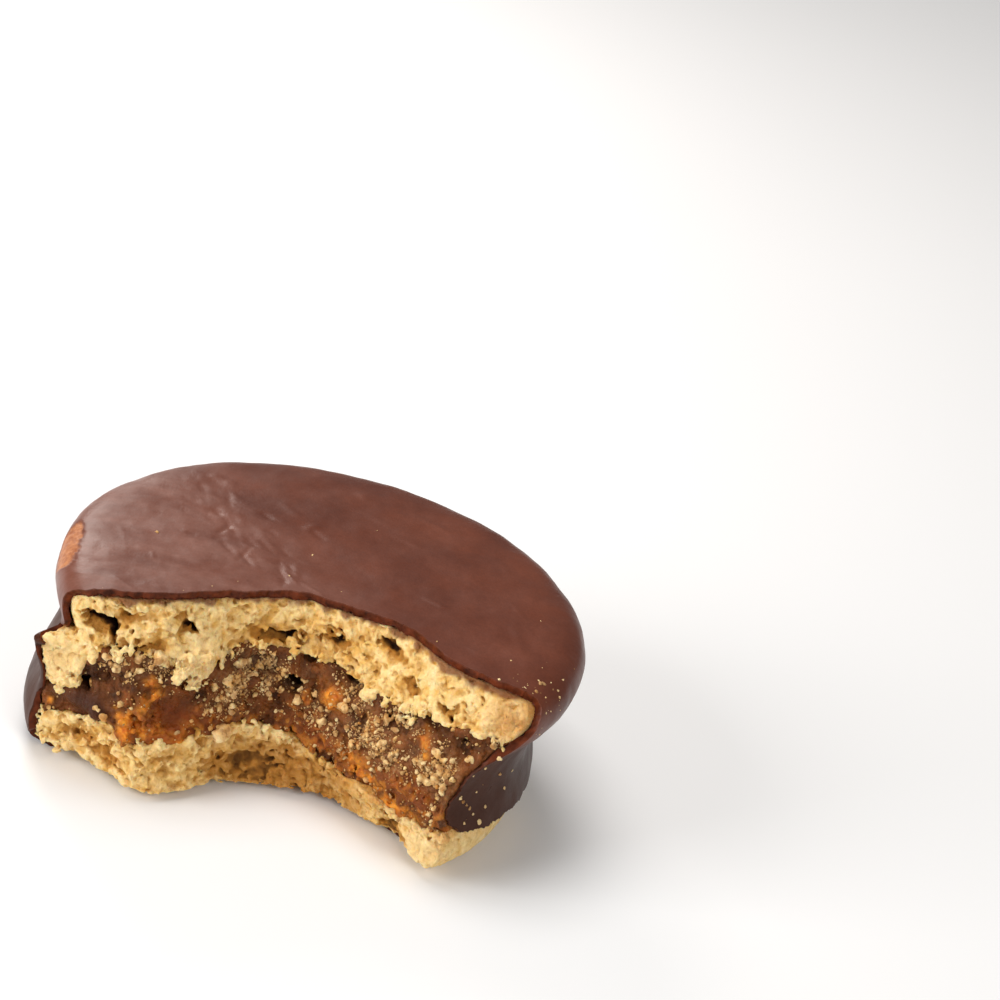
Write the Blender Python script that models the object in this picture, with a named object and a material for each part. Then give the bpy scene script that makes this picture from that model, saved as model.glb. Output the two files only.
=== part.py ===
"""A round chocolate-coated alfajor with a bite out of its front.

Two biscuits with a thick caramel filling between them, all wrapped in one chocolate coating.
The underside rests on Z = 0, the round base is centred on the Z axis, and the bite faces -Y.
Lengths are in millimetres until a mesh is made, and every mesh is in metres.
"""

import math

import bmesh
import bpy
from mathutils import Vector, noise

METRES = 0.001

# Driving sizes, in millimetres
HEIGHT = 24.9
COATING = 1.1  # thickness of the chocolate
BASE_COATING = 0.7  # thickness of the chocolate underneath
GAP = 0.3  # clearance between neighbouring solids
REACH = 45.0  # how far a cutting block runs past the cookie
STEP = 1.5  # width of the facets along the bite

# Outside of the coating from the top down: height, radius
OUTER_PROFILE = [
    (HEIGHT, 16.0),
    (24.8, 25.5),
    (24.4, 29.4),
    (23.5, 31.4),
    (22.0, 32.4),
    (20.2, 32.5),
    (18.5, 31.9),
    (17.1, 30.8),
    (15.7, 30.1),
    (14.2, 29.9),
    (11.2, 30.2),
    (8.4, 31.0),
    (6.0, 31.4),
    (3.6, 31.3),
    (1.8, 30.8),
    (0.6, 29.8),
    (0.0, 28.2),
    (0.0, 12.0),
]
BASE_EDGE = 1.0  # below this height the coating thins to its underneath thickness
WIDEST = 32.5
RING_POINTS = 60

# The lower biscuit sits a little to the left of the upper one, and the top leans
LOWER_SHIFT = Vector((-2.5, -0.5, 0.0))
SHIFT_START = 18.0
SHIFT_END = 9.0
TOP_LEAN = -0.012

# The bite's wall at four heights: place across the cookie, how far back the bite reaches
BITE_TOP = [
    (-33.0, -9.0), (-27.0, -11.8), (-18.0, -10.1), (-10.0, -6.3), (-3.0, -3.8),
    (4.0, -4.8), (11.0, -6.9), (16.0, -11.6), (22.0, -14.4), (30.0, -15.0),
]
BITE_UNDER_UPPER = [
    (-33.0, -10.5), (-27.0, -12.6), (-18.0, -13.0), (-10.0, -9.0), (-3.0, -6.3),
    (4.0, -7.4), (11.0, -12.0), (16.0, -16.6), (22.0, -19.8), (30.0, -19.0),
]
BITE_MIDDLE = [
    (-33.0, -10.5), (-27.0, -12.6), (-20.0, -14.8), (-13.0, -13.4), (-6.0, -9.5),
    (0.0, -8.9), (6.0, -13.2), (11.0, -17.2), (16.0, -20.8), (20.0, -22.4), (27.0, -24.0),
]
BITE_BASE = [
    (-33.0, -11.5), (-26.0, -11.6), (-21.0, -15.3), (-16.0, -17.4), (-9.0, -12.4),
    (-2.0, -10.6), (5.0, -10.4), (10.0, -13.6), (15.0, -17.6), (20.0, -21.9), (27.0, -20.0),
]
BITE_LEVELS = [(1.0, BITE_BASE), (10.0, BITE_MIDDLE), (17.5, BITE_UNDER_UPPER), (24.2, BITE_TOP)]

# Heights where the layers meet, across the cookie
FILLING_TOP = [
    (-33.0, 17.0), (-24.0, 17.4), (-19.0, 17.2), (-14.0, 15.6), (-9.5, 18.8),
    (-3.0, 18.2), (4.0, 16.4), (11.0, 15.8), (17.0, 17.0), (23.0, 18.2), (30.0, 18.0),
]
FILLING_BASE = [
    (-33.0, 7.4), (-25.0, 7.6), (-19.0, 6.8), (-13.0, 7.6), (-7.0, 8.9),
    (-2.0, 8.4), (4.0, 6.4), (10.0, 6.0), (16.0, 5.9), (20.0, 6.6), (28.0, 8.0),
]

# At the bite's left corner the upper biscuit is crushed down past the filling, under a crack
CRUSH_DROP = 8.2
CRUSH_RIGHT = -25.0
CRUSH_EDGE = 3.0
CRUSH_DEPTH = 6.0
CRACK_CENTRE = Vector((-25.0, -11.4, 20.2))
CRACK_RADII = Vector((2.6, 3.6, 1.0))
CRACK_LEAN = math.radians(26)

# Swellings of the side: angle and half-width in degrees, height, reach above and below it, amount
SWELLINGS = [
    (-156, 8.5, 15.4, 2.6, 3.4, 7.6),  # pushed out by the crushed end
    (-162, 16, 3.0, 4.0, 4.0, 0.4),  # the lower biscuit's left side
    (-42, 24, 1.5, 4.0, 4.0, 1.1),  # its foot at the front right
]

# The underside's chocolate stops short of the bite
BASE_SETBACK = 3.0
SETBACK_HEIGHT = 2.0

# Chocolate is chipped off the front right below this line: Y, height
CHIP_LINE = [
    (-28.0, 11.5), (-24.0, 9.8), (-22.0, 7.6), (-20.0, 5.8), (-14.0, 4.6),
    (-6.0, 3.2), (4.0, 1.2), (12.0, -0.5),
]
CHIP_LEFT = 15.0


def smooth_step(value):
    """0 below 0, 1 above 1, with a smooth rise between."""
    value = min(1.0, max(0.0, value))
    return value * value * (3.0 - 2.0 * value)


def along(curve, x):
    """A smooth line through the curve's points, level beyond both ends."""
    if x <= curve[0][0]:
        return curve[0][1]
    if x >= curve[-1][0]:
        return curve[-1][1]
    i = max(k for k in range(len(curve) - 1) if curve[k][0] <= x)
    (x0, before), (x1, start) = curve[max(i - 1, 0)], curve[i]
    (x2, end), (x3, after) = curve[i + 1], curve[min(i + 2, len(curve) - 1)]
    width = x2 - x1
    rise_in = (end - before) / (x2 - x0) * width
    rise_out = (after - start) / (x3 - x1) * width
    t = (x - x1) / width
    return (
        start * (2 * t**3 - 3 * t**2 + 1)
        + rise_in * (t**3 - 2 * t**2 + t)
        + end * (3 * t**2 - 2 * t**3)
        + rise_out * (t**3 - t**2)
    )


def wall_y(x, z):
    """The Y of the bite's wall at a place across the cookie and a height."""
    z = min(BITE_LEVELS[-1][0], max(BITE_LEVELS[0][0], z))
    for (low, low_curve), (high, high_curve) in zip(BITE_LEVELS, BITE_LEVELS[1:]):
        if z <= high:
            t = (z - low) / (high - low)
            return (1 - t) * along(low_curve, x) + t * along(high_curve, x)


def bumps(x, z, seed, grain):
    """A smooth seeded unevenness from about -1 to 1, with lumps of the given size."""
    return 1.6 * noise.noise(Vector((x / grain, seed, z / grain)))


def swelling(angle, z):
    """How far the side swells out at an angle around the cookie and a height."""
    total = 0.0
    for middle, width, height, above, below, amount in SWELLINGS:
        turn = math.remainder(angle - math.radians(middle), 2 * math.pi) / math.radians(width)
        rise = (z - height) / (above if z > height else below)
        total += amount * math.exp(-turn * turn - rise * rise)
    return total


def ring_point(angle, radius, z):
    """A point on the cookie's side, with its slight ovalness, swellings, shift and lean."""
    oval = (
        0.25 * math.cos(2 * angle)
        - 0.35 * math.sin(2 * angle)
        + 0.12 * math.cos(3 * angle)
        + 0.18 * math.sin(3 * angle)
    )
    reach = radius + radius / WIDEST * (oval + swelling(angle, z))
    shift = LOWER_SHIFT * smooth_step((SHIFT_START - z) / (SHIFT_START - SHIFT_END))
    x = reach * math.cos(angle) + shift.x
    y = reach * math.sin(angle) + shift.y
    return Vector((x, y, z + TOP_LEAN * x * z / HEIGHT))


def inset_profile(profile, distance):
    """The profile moved inwards by a distance, square to its own line."""
    moved = []
    for i, (z, r) in enumerate(profile):
        z0, r0 = profile[max(i - 1, 0)]
        z1, r1 = profile[min(i + 1, len(profile) - 1)]
        line = Vector((z1 - z0, r1 - r0)).normalized()
        upwards = distance - COATING + BASE_COATING if z < BASE_EDGE else distance
        moved.append((min(HEIGHT - distance, z - upwards * line.y), r + distance * line.x))
    return moved


def new_object(name, bm):
    """An object whose mesh is the bmesh's, turned from millimetres into metres."""
    bmesh.ops.scale(bm, vec=(METRES,) * 3, verts=bm.verts)
    bmesh.ops.triangulate(bm, faces=bm.faces)
    bmesh.ops.recalc_face_normals(bm, faces=bm.faces)
    mesh = bpy.data.meshes.new(name)
    bm.to_mesh(mesh)
    bm.free()
    thing = bpy.data.objects.new(name, mesh)
    bpy.context.scene.collection.objects.link(thing)
    return thing


def lofted_cookie(name, profile):
    """A closed round solid through one ring of points for each step of the profile."""
    bm = bmesh.new()
    rings = []
    for z, radius in profile:
        angles = [2 * math.pi * k / RING_POINTS for k in range(RING_POINTS)]
        rings.append([bm.verts.new(ring_point(a, radius, z)) for a in angles])
    for upper, lower in zip(rings, rings[1:]):
        for k in range(RING_POINTS):
            n = (k + 1) % RING_POINTS
            bm.faces.new((upper[k], lower[k], lower[n], upper[n]))
    bm.faces.new(rings[0])
    bm.faces.new(list(reversed(rings[-1])))
    return new_object(name, bm)


def block_behind_wall(name, floor, ceiling, front, rows):
    """A block from the bite's wall to beyond the back; its top and bottom vary with X and depth."""
    bm = bmesh.new()
    loops = []
    for c in range(int(2 * REACH / STEP) + 1):
        x = -REACH + STEP * c
        low, high = floor(x, 0.0), ceiling(x, 0.0)
        heights = [low + (high - low) * r / (rows - 1) for r in range(rows)]
        points = [(x, front(x, z), z) for z in heights]
        behind = front(x, (low + high) / 2) + CRUSH_DEPTH
        points += [(x, behind, ceiling(x, CRUSH_DEPTH)), (x, REACH, ceiling(x, REACH))]
        points += [(x, REACH, floor(x, REACH)), (x, behind, floor(x, CRUSH_DEPTH))]
        loops.append([bm.verts.new(p) for p in points])
    for here, following in zip(loops, loops[1:]):
        for k in range(len(here)):
            n = (k + 1) % len(here)
            bm.faces.new((here[k], following[k], following[n], here[n]))
    bm.faces.new(loops[0])
    bm.faces.new(loops[-1])
    return new_object(name, bm)


def pocket(name, centre, radii, lean, seed):
    """A closed uneven hollow, leaning about the Y axis."""
    bm = bmesh.new()
    bmesh.ops.create_icosphere(bm, subdivisions=2, radius=1.0)
    for v in bm.verts:
        swell = 1.0 + 0.3 * noise.noise(v.co * 1.7 + Vector((seed, 0, 0)))
        ball = Vector([v.co[k] * radii[k] * swell for k in range(3)])
        x = ball.x * math.cos(lean) + ball.z * math.sin(lean)
        z = ball.z * math.cos(lean) - ball.x * math.sin(lean)
        v.co = centre + Vector((x, ball.y, z))
    return new_object(name, bm)


def combine(target, other, operation):
    """An exact Boolean of target with other, which becomes a hidden guide."""
    other.hide_render = True
    other.display_type = "WIRE"
    modifier = target.modifiers.new(operation.title(), "BOOLEAN")
    modifier.operation = operation
    modifier.solver = "EXACT"
    modifier.object = other


def material(name, colour, roughness):
    """A plain food-like surface."""
    made = bpy.data.materials.new(name)
    made.use_nodes = True
    shader = made.node_tree.nodes["Principled BSDF"]
    shader.inputs["Base Color"].default_value = (*colour, 1.0)
    shader.inputs["Roughness"].default_value = roughness
    shader.inputs["Metallic"].default_value = 0.0
    return made


def crumb_wall(seed):
    """The bite's wall with a bitten biscuit's unevenness."""
    def front(x, z):
        return wall_y(x, z) - 0.5 * bumps(x, z, seed, 4.5)
    return front


def filling_wall(x, z):
    """The filling's wall, pulled into broad soft lumps."""
    return wall_y(x, z) - 0.5 * bumps(x, z, 31.0, 5.5)


def coating_wall(x, z):
    """The chocolate breaks near the biscuit's edge, but short of it on the underside."""
    setback = BASE_SETBACK * smooth_step((SETBACK_HEIGHT - z) / SETBACK_HEIGHT)
    return wall_y(x, z) + setback - 0.2 * bumps(x, z, 47.0, 4.0)


def filling_top(x, depth):
    """Where the filling ends and the upper biscuit starts, lower under the crushed end."""
    crushed = smooth_step((CRUSH_RIGHT - x) / CRUSH_EDGE) * smooth_step(1 - depth / CRUSH_DEPTH)
    return along(FILLING_TOP, x) - CRUSH_DROP * crushed


def filling_base(x, _depth):
    """Where the lower biscuit ends and the filling starts."""
    return along(FILLING_BASE, x)


def layer(name, floor, ceiling, front, rows, look):
    """One layer of what the coating holds, from the bite's wall to the coating's inside."""
    contents = lofted_cookie(name, inset_profile(OUTER_PROFILE, COATING + GAP))
    combine(contents, block_behind_wall(name + "_block", floor, ceiling, front, rows), "INTERSECT")
    contents.data.materials.append(look)
    return contents


def chip_block():
    """A block under the coating at the front right, where the chocolate has come off."""
    bm = bmesh.new()
    start, end = CHIP_LINE[0][0], CHIP_LINE[-1][0]
    columns = int((end - start) / STEP) + 1
    loops = []
    for c in range(columns):
        y = start + (end - start) * c / (columns - 1)
        top = along(CHIP_LINE, y) + 0.4 * bumps(y, 0.0, 61.0, 3.0)
        corners = [(CHIP_LEFT, y, -5.0), (REACH, y, -5.0), (REACH, y, top), (CHIP_LEFT, y, top)]
        loops.append([bm.verts.new(p) for p in corners])
    for here, following in zip(loops, loops[1:]):
        for k in range(4):
            n = (k + 1) % 4
            bm.faces.new((here[k], following[k], following[n], here[n]))
    bm.faces.new(loops[0])
    bm.faces.new(loops[-1])
    return new_object("chip_block", bm)


def upper_biscuit(look):
    """The upper biscuit, with its crushed end and the crack above that."""
    biscuit = layer(
        "upper_biscuit",
        lambda x, depth: filling_top(x, depth) + GAP / 2,
        lambda x, depth: HEIGHT,
        crumb_wall(3.0),
        8,
        look,
    )
    crack = pocket("crack", CRACK_CENTRE, CRACK_RADII, CRACK_LEAN, 5.0)
    combine(biscuit, crack, "DIFFERENCE")
    return biscuit


def filling(look):
    """The caramel between the biscuits."""
    return layer(
        "filling",
        lambda x, depth: filling_base(x, depth) + GAP / 2,
        lambda x, depth: filling_top(x, depth) - GAP / 2,
        filling_wall,
        7,
        look,
    )


def lower_biscuit(look):
    """The lower biscuit, bare at the front right."""
    return layer(
        "lower_biscuit",
        lambda x, depth: 0.0,
        lambda x, depth: filling_base(x, depth) - GAP / 2,
        crumb_wall(17.0),
        7,
        look,
    )


def coating(look):
    """The chocolate shell over the top, the sides and the underside."""
    shell = lofted_cookie("chocolate_coating", OUTER_PROFILE)
    inside = lofted_cookie("coating_inside", inset_profile(OUTER_PROFILE, COATING))
    combine(shell, inside, "DIFFERENCE")
    block = block_behind_wall(
        "coating_block", lambda x, depth: -1.0, lambda x, depth: HEIGHT + 1.0, coating_wall, 20
    )
    combine(shell, block, "INTERSECT")
    combine(shell, chip_block(), "DIFFERENCE")
    shell.data.materials.append(look)
    return shell


def main():
    for old in list(bpy.data.objects):
        bpy.data.objects.remove(old)
    crumb = material("biscuit_crumb", (0.66, 0.45, 0.17), 0.85)
    caramel = material("caramel", (0.18, 0.065, 0.022), 0.4)
    chocolate = material("chocolate", (0.16, 0.055, 0.032), 0.38)
    for node in (upper_biscuit(crumb), filling(caramel), lower_biscuit(crumb), coating(chocolate)):
        node.data.shade_smooth()
        node.data.set_sharp_from_angle(angle=math.radians(35))


main()
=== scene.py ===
"""Looks of the bitten alfajor: crumb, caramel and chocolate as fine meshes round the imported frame.

Shapes are worked out in millimetres on numpy arrays, and become metres when a mesh is made.
"""

import math

import bmesh
import bpy
import numpy as np
from mathutils import Matrix, Vector


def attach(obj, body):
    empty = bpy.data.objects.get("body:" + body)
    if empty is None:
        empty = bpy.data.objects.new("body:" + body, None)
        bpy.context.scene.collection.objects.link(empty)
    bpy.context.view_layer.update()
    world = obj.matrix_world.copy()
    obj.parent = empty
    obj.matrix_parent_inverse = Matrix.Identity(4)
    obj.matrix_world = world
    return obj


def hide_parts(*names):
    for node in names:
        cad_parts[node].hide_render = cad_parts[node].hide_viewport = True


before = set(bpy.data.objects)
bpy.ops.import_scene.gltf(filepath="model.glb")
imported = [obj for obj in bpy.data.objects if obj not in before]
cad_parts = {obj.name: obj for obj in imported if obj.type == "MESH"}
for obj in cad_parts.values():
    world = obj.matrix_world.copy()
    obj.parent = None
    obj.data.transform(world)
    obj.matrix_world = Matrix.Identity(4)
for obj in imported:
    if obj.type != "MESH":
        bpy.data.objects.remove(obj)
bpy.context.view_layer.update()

MM = 0.001

# ---------------------------------------------------------------------------------------------
# Sizes of the cookie, in millimetres
# ---------------------------------------------------------------------------------------------

HEIGHT = 24.9
COATING = 1.1
BASE_COATING = 0.7
TOP_LEAN = -0.012
WAIST_COATING = 0.45  # the coating's thickness beside the filling

# Outside of the coating from the top down: height, radius
OUTER_PROFILE = [
    (HEIGHT, 0.0), (HEIGHT, 18.0), (24.8, 25.5), (24.4, 29.4), (23.5, 31.4), (22.0, 32.4),
    (20.2, 32.5), (18.5, 31.9), (17.1, 30.8), (15.7, 30.1), (14.2, 29.9), (11.2, 30.2),
    (8.4, 31.0), (6.0, 31.4), (3.6, 31.3), (1.8, 30.8), (0.6, 29.8), (0.0, 28.2), (0.0, 0.0),
]
WIDEST = 32.5
LOWER_SHIFT = (-2.5, -0.5)
SHIFT_START = 18.0
SHIFT_END = 9.0

# The bite's wall at four heights: place across the cookie, how far back the bite reaches
BITE_TOP = [
    (-33.0, -9.0), (-27.0, -11.8), (-18.0, -10.1), (-10.0, -6.3), (-3.0, -3.8),
    (4.0, -4.8), (11.0, -6.9), (16.0, -11.6), (22.0, -14.4), (30.0, -15.0),
]
BITE_UNDER_UPPER = [
    (-33.0, -10.5), (-27.0, -12.6), (-18.0, -13.0), (-10.0, -9.0), (-3.0, -6.3),
    (4.0, -7.4), (11.0, -12.0), (16.0, -16.6), (22.0, -19.8), (30.0, -19.0),
]
BITE_MIDDLE = [
    (-33.0, -10.5), (-27.0, -12.6), (-20.0, -14.8), (-13.0, -13.4), (-6.0, -9.5),
    (0.0, -8.9), (6.0, -13.2), (11.0, -17.2), (16.0, -20.8), (20.0, -22.4), (27.0, -24.0),
]
BITE_BASE = [
    (-33.0, -11.5), (-26.0, -11.6), (-21.0, -15.3), (-16.0, -17.4), (-9.0, -12.4),
    (-2.0, -10.6), (5.0, -10.4), (10.0, -13.6), (15.0, -17.6), (20.0, -21.9), (27.0, -20.0),
]
BITE_LEVELS = [(1.0, BITE_BASE), (10.0, BITE_MIDDLE), (17.5, BITE_UNDER_UPPER), (24.2, BITE_TOP)]

# Heights where the layers meet, across the cookie
FILLING_TOP = [
    (-33.0, 17.0), (-24.0, 17.4), (-19.0, 17.4), (-15.5, 16.2), (-12.5, 14.6), (-9.3, 18.0),
    (-3.0, 18.1), (4.0, 17.4), (8.0, 16.8), (12.0, 17.2), (17.0, 18.2), (23.0, 18.9), (30.0, 18.8),
]
FILLING_BASE = [
    (-33.0, 6.6), (-28.0, 6.9), (-22.4, 8.0), (-20.0, 6.7), (-18.0, 6.8), (-13.0, 7.6), (-7.0, 8.9),
    (-2.0, 8.4), (4.0, 6.4), (10.0, 6.0), (16.0, 5.9), (20.0, 6.6), (28.0, 8.0),
]
CRUSH_DROP = 6.6
CRUSH_RIGHT = -25.0
CRUSH_EDGE = 3.0
CRUSH_DEPTH = 6.0

# Swellings of the side: angle and half-width in degrees, height, reach above and below it, amount
SWELLINGS = [
    (-159.5, 3.4, 16.3, 1.3, 4.6, 5.0),
    (178, 13, 10.5, 4.5, 3.5, -1.7),
    (-162, 16, 3.0, 4.0, 4.0, 0.4),
    (-42, 24, 1.5, 4.0, 4.0, 1.1),
]

# ---------------------------------------------------------------------------------------------
# Curves, noise and the cookie's outside
# ---------------------------------------------------------------------------------------------


def smooth_step(value):
    value = np.clip(value, 0.0, 1.0)
    return value * value * (3.0 - 2.0 * value)


def along(curve, x):
    """A smooth line through the curve's points, level beyond both ends."""
    xs, ys = np.array(curve).T
    before = np.concatenate([[0], np.arange(len(xs) - 1)])
    after = np.concatenate([np.arange(1, len(xs)), [len(xs) - 1]])
    slope = (ys[after] - ys[before]) / (xs[after] - xs[before])
    x = np.clip(x, xs[0], xs[-1])
    i = np.clip(np.searchsorted(xs, x, side="right") - 1, 0, len(xs) - 2)
    width = xs[i + 1] - xs[i]
    t = (x - xs[i]) / width
    return (
        ys[i] * (2 * t**3 - 3 * t**2 + 1)
        + slope[i] * width * (t**3 - 2 * t**2 + t)
        + ys[i + 1] * (3 * t**2 - 2 * t**3)
        + slope[i + 1] * width * (t**3 - t**2)
    )


def wall_y(x, z):
    """The Y of the bite's wall at places across the cookie and heights."""
    heights = [level for level, _ in BITE_LEVELS]
    z = np.clip(z, heights[0], heights[-1])
    curves = [along(curve, x) for _, curve in BITE_LEVELS]
    result = curves[0] + 0.0 * z
    for low, high, under, over in zip(heights, heights[1:], curves, curves[1:]):
        t = (z - low) / (high - low)
        result = np.where(z > low, (1 - t) * under + t * over, result)
    return result


def filling_top(x, depth):
    crushed = smooth_step((CRUSH_RIGHT - x) / CRUSH_EDGE) * smooth_step(1 - depth / CRUSH_DEPTH)
    return along(FILLING_TOP, x) - CRUSH_DROP * crushed


DIRECTIONS = np.random.default_rng(7).normal(size=(256, 3))
DIRECTIONS /= np.linalg.norm(DIRECTIONS, axis=1, keepdims=True)
DIRECTIONS = DIRECTIONS.astype(np.float32)


def noise(x, y, z, size, seed):
    """Smooth unevenness from about -1 to 1 with lumps of the given size."""
    shape = np.broadcast(x, y, z).shape
    p = np.empty((3,) + shape, np.float32)
    p[0], p[1], p[2] = x, y, z
    p /= size
    cell = np.floor(p)
    p -= cell
    cell = cell.astype(np.int64) + 4096
    fade = p * p * p * (p * (p * 6 - 15) + 10)
    total = np.zeros(shape, np.float32)
    for cx in (0, 1):
        wx = fade[0] if cx else 1 - fade[0]
        for cy in (0, 1):
            wy = wx * (fade[1] if cy else 1 - fade[1])
            for cz in (0, 1):
                key = (cell[0] + cx) * 73856093 ^ (cell[1] + cy) * 19349663
                key = (key ^ (cell[2] + cz) * 83492791 ^ seed * 2654435761) & 0xFFFFFFFF
                key = (key ^ (key >> 15)) * 0x2C1B3C6D & 0xFFFFFFFF
                lean = DIRECTIONS[(key >> 12) & 255]
                dot = lean[..., 0] * (p[0] - cx)
                dot += lean[..., 1] * (p[1] - cy)
                dot += lean[..., 2] * (p[2] - cz)
                total += wy * (fade[2] if cz else 1 - fade[2]) * dot
    return 1.6 * total


def grains(x, y, z, size, seed):
    """Rounded grains of the given size and of uneven height, from about -0.3 to 0.8."""
    p = np.stack(np.broadcast_arrays(x, y, z)).astype(np.float32) / size
    cell = np.floor(p)
    p -= cell
    cell = cell.astype(np.int64) + 4096
    best = np.full(p.shape[1:], -0.3, np.float32)
    for cx in (0, 1):
        for cy in (0, 1):
            for cz in (0, 1):
                key = (cell[0] + cx) * 73856093 ^ (cell[1] + cy) * 19349663
                key = (key ^ (cell[2] + cz) * 83492791 ^ seed * 2654435761) & 0xFFFFFFFF
                key = (key ^ (key >> 15)) * 0x2C1B3C6D & 0xFFFFFFFF
                shift = 0.42 * DIRECTIONS[(key >> 12) & 255]
                away = (p[0] - cx - shift[..., 0]) ** 2
                away += (p[1] - cy - shift[..., 1]) ** 2
                away += (p[2] - cz - shift[..., 2]) ** 2
                height = 0.25 + 0.55 * ((key >> 20) & 255) / 255
                best = np.maximum(best, height - 1.3 * away)
    return best


def swelling(angle, z):
    total = 0.0
    for middle, width, height, above, below, amount in SWELLINGS:
        turn = angle - math.radians(middle)
        turn = (turn + math.pi) % (2 * math.pi) - math.pi
        turn = turn / math.radians(width)
        rise = (z - height) / np.where(z > height, above, below)
        total = total + amount * np.exp(-turn * turn - rise * rise)
    return total


def centre_shift(z):
    """How far the lower part of the cookie lies to the left and front, as X and Y."""
    share = smooth_step((SHIFT_START - z) / (SHIFT_START - SHIFT_END))
    return LOWER_SHIFT[0] * share, LOWER_SHIFT[1] * share


def stretch(angle, z):
    """How much further out than the profile the side lies, as a share of the widest radius."""
    oval = (
        0.25 * np.cos(2 * angle)
        - 0.35 * np.sin(2 * angle)
        + 0.12 * np.cos(3 * angle)
        + 0.18 * np.sin(3 * angle)
    )
    return (oval + swelling(angle, z)) / WIDEST


def smooth_profile(points, step=0.1):
    """The profile as a dense rounded line: an array of heights and an array of radii."""
    z, r = np.array(points, float).T
    for _ in range(3):
        z = np.concatenate([z[:1], np.stack([0.75 * z[:-1] + 0.25 * z[1:], 0.25 * z[:-1] + 0.75 * z[1:]], 1).ravel(), z[-1:]])
        r = np.concatenate([r[:1], np.stack([0.75 * r[:-1] + 0.25 * r[1:], 0.25 * r[:-1] + 0.75 * r[1:]], 1).ravel(), r[-1:]])
    length = np.concatenate([[0], np.cumsum(np.hypot(np.diff(z), np.diff(r)))])
    even = np.linspace(0, length[-1], int(length[-1] / step))
    return np.interp(even, length, z), np.interp(even, length, r)


PROFILE_Z, PROFILE_R = smooth_profile(OUTER_PROFILE)
TABLE_STEP = 0.2
TABLE_LOW = -4.0


def distance_table():
    """Signed distance to the profile on a grid of heights and radii, negative inside."""
    zs = TABLE_LOW + TABLE_STEP * np.arange(int(34 / TABLE_STEP))
    rs = TABLE_STEP * np.arange(int(42 / TABLE_STEP))
    z, r = np.meshgrid(zs, rs, indexing="ij")
    best = np.full(z.shape, 1e9)
    for pz, pr in zip(PROFILE_Z[::2], PROFILE_R[::2]):
        best = np.minimum(best, (z - pz) ** 2 + (r - pr) ** 2)
    reach = np.interp(-zs, -PROFILE_Z, PROFILE_R)
    widest = np.zeros(len(zs))
    for k, level in enumerate(zs):
        crossing = np.where(np.diff(np.sign(PROFILE_Z - level)) != 0)[0]
        widest[k] = PROFILE_R[crossing].max() if len(crossing) else -1
    inside = (r < widest[:, None]) & (z > 0) & (z < HEIGHT)
    return np.where(inside, -1, 1) * np.sqrt(best), reach


DISTANCES, _ = distance_table()


def outside_distance(x, y, z):
    """About how far points are outside the cookie, negative inside."""
    level = z - TOP_LEAN * x * z / HEIGHT
    sx, sy = centre_shift(level)
    dx, dy = x - sx, y - sy
    angle = np.arctan2(dy, dx)
    radius = np.hypot(dx, dy) / (1 + stretch(angle, level))
    row = np.clip((level - TABLE_LOW) / TABLE_STEP, 0, DISTANCES.shape[0] - 1.001)
    column = np.clip(radius / TABLE_STEP, 0, DISTANCES.shape[1] - 1.001)
    i, j = row.astype(int), column.astype(int)
    s, t = row - i, column - j
    return (
        (1 - s) * ((1 - t) * DISTANCES[i, j] + t * DISTANCES[i, j + 1])
        + s * ((1 - t) * DISTANCES[i + 1, j] + t * DISTANCES[i + 1, j + 1])
    )


def coating_depth(z):
    """The coating's thickness at a height: thin beside the filling, full on the biscuits."""
    biscuits = smooth_step((z - 15.5) / 2.5) + smooth_step((9.0 - z) / 2.5)
    return WAIST_COATING + (COATING - WAIST_COATING) * biscuits


# ---------------------------------------------------------------------------------------------
# Materials
# ---------------------------------------------------------------------------------------------


def node(tree, kind, props=None, **inputs):
    """Adds a shader node; an input's value is a number, a colour or another node's output."""
    made = tree.nodes.new("ShaderNode" + kind)
    for key, value in (props or {}).items():
        setattr(made, key, value)
    for key, value in inputs.items():
        socket = made.inputs[int(key[1:])] if key[0] == "i" and key[1:].isdigit() else made.inputs[key.replace("_", " ")]
        if isinstance(value, bpy.types.NodeSocket):
            tree.links.new(value, socket)
        else:
            socket.default_value = value
    return made


def start_material(name):
    material = bpy.data.materials.new(name)
    material.use_nodes = True
    tree = material.node_tree
    tree.nodes.clear()
    place = node(tree, "TexCoord").outputs["Object"]
    return material, tree, place


def finish_material(tree, **inputs):
    shader = node(tree, "BsdfPrincipled", **inputs)
    node(tree, "OutputMaterial", Surface=shader.outputs[0])


def speckle(tree, place, scale, detail=2.0, low=0.3, high=0.7):
    """Noise stretched to run from 0 to 1; scale is in lumps per metre."""
    raw = node(tree, "TexNoise", Vector=place, Scale=scale, Detail=detail).outputs["Fac"]
    return node(tree, "MapRange", Value=raw, From_Min=low, From_Max=high).outputs["Result"]


def mix(tree, share, a, b, mode="MIX"):
    props = {"data_type": "RGBA", "blend_type": mode}
    return node(tree, "Mix", props, i0=share, i6=a, i7=b).outputs[2]


def maths(tree, operation, a, b):
    return node(tree, "Math", {"operation": operation}, i0=a, i1=b).outputs[0]


def mask_channels(tree, name):
    attribute = node(tree, "Attribute", {"attribute_name": name}).outputs["Color"]
    split = node(tree, "SeparateColor", Color=attribute)
    return split.outputs[0], split.outputs[1], split.outputs[2]


def bump(tree, height, strength, distance):
    return node(tree, "Bump", Height=height, Strength=strength, Distance=distance).outputs[0]


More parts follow.
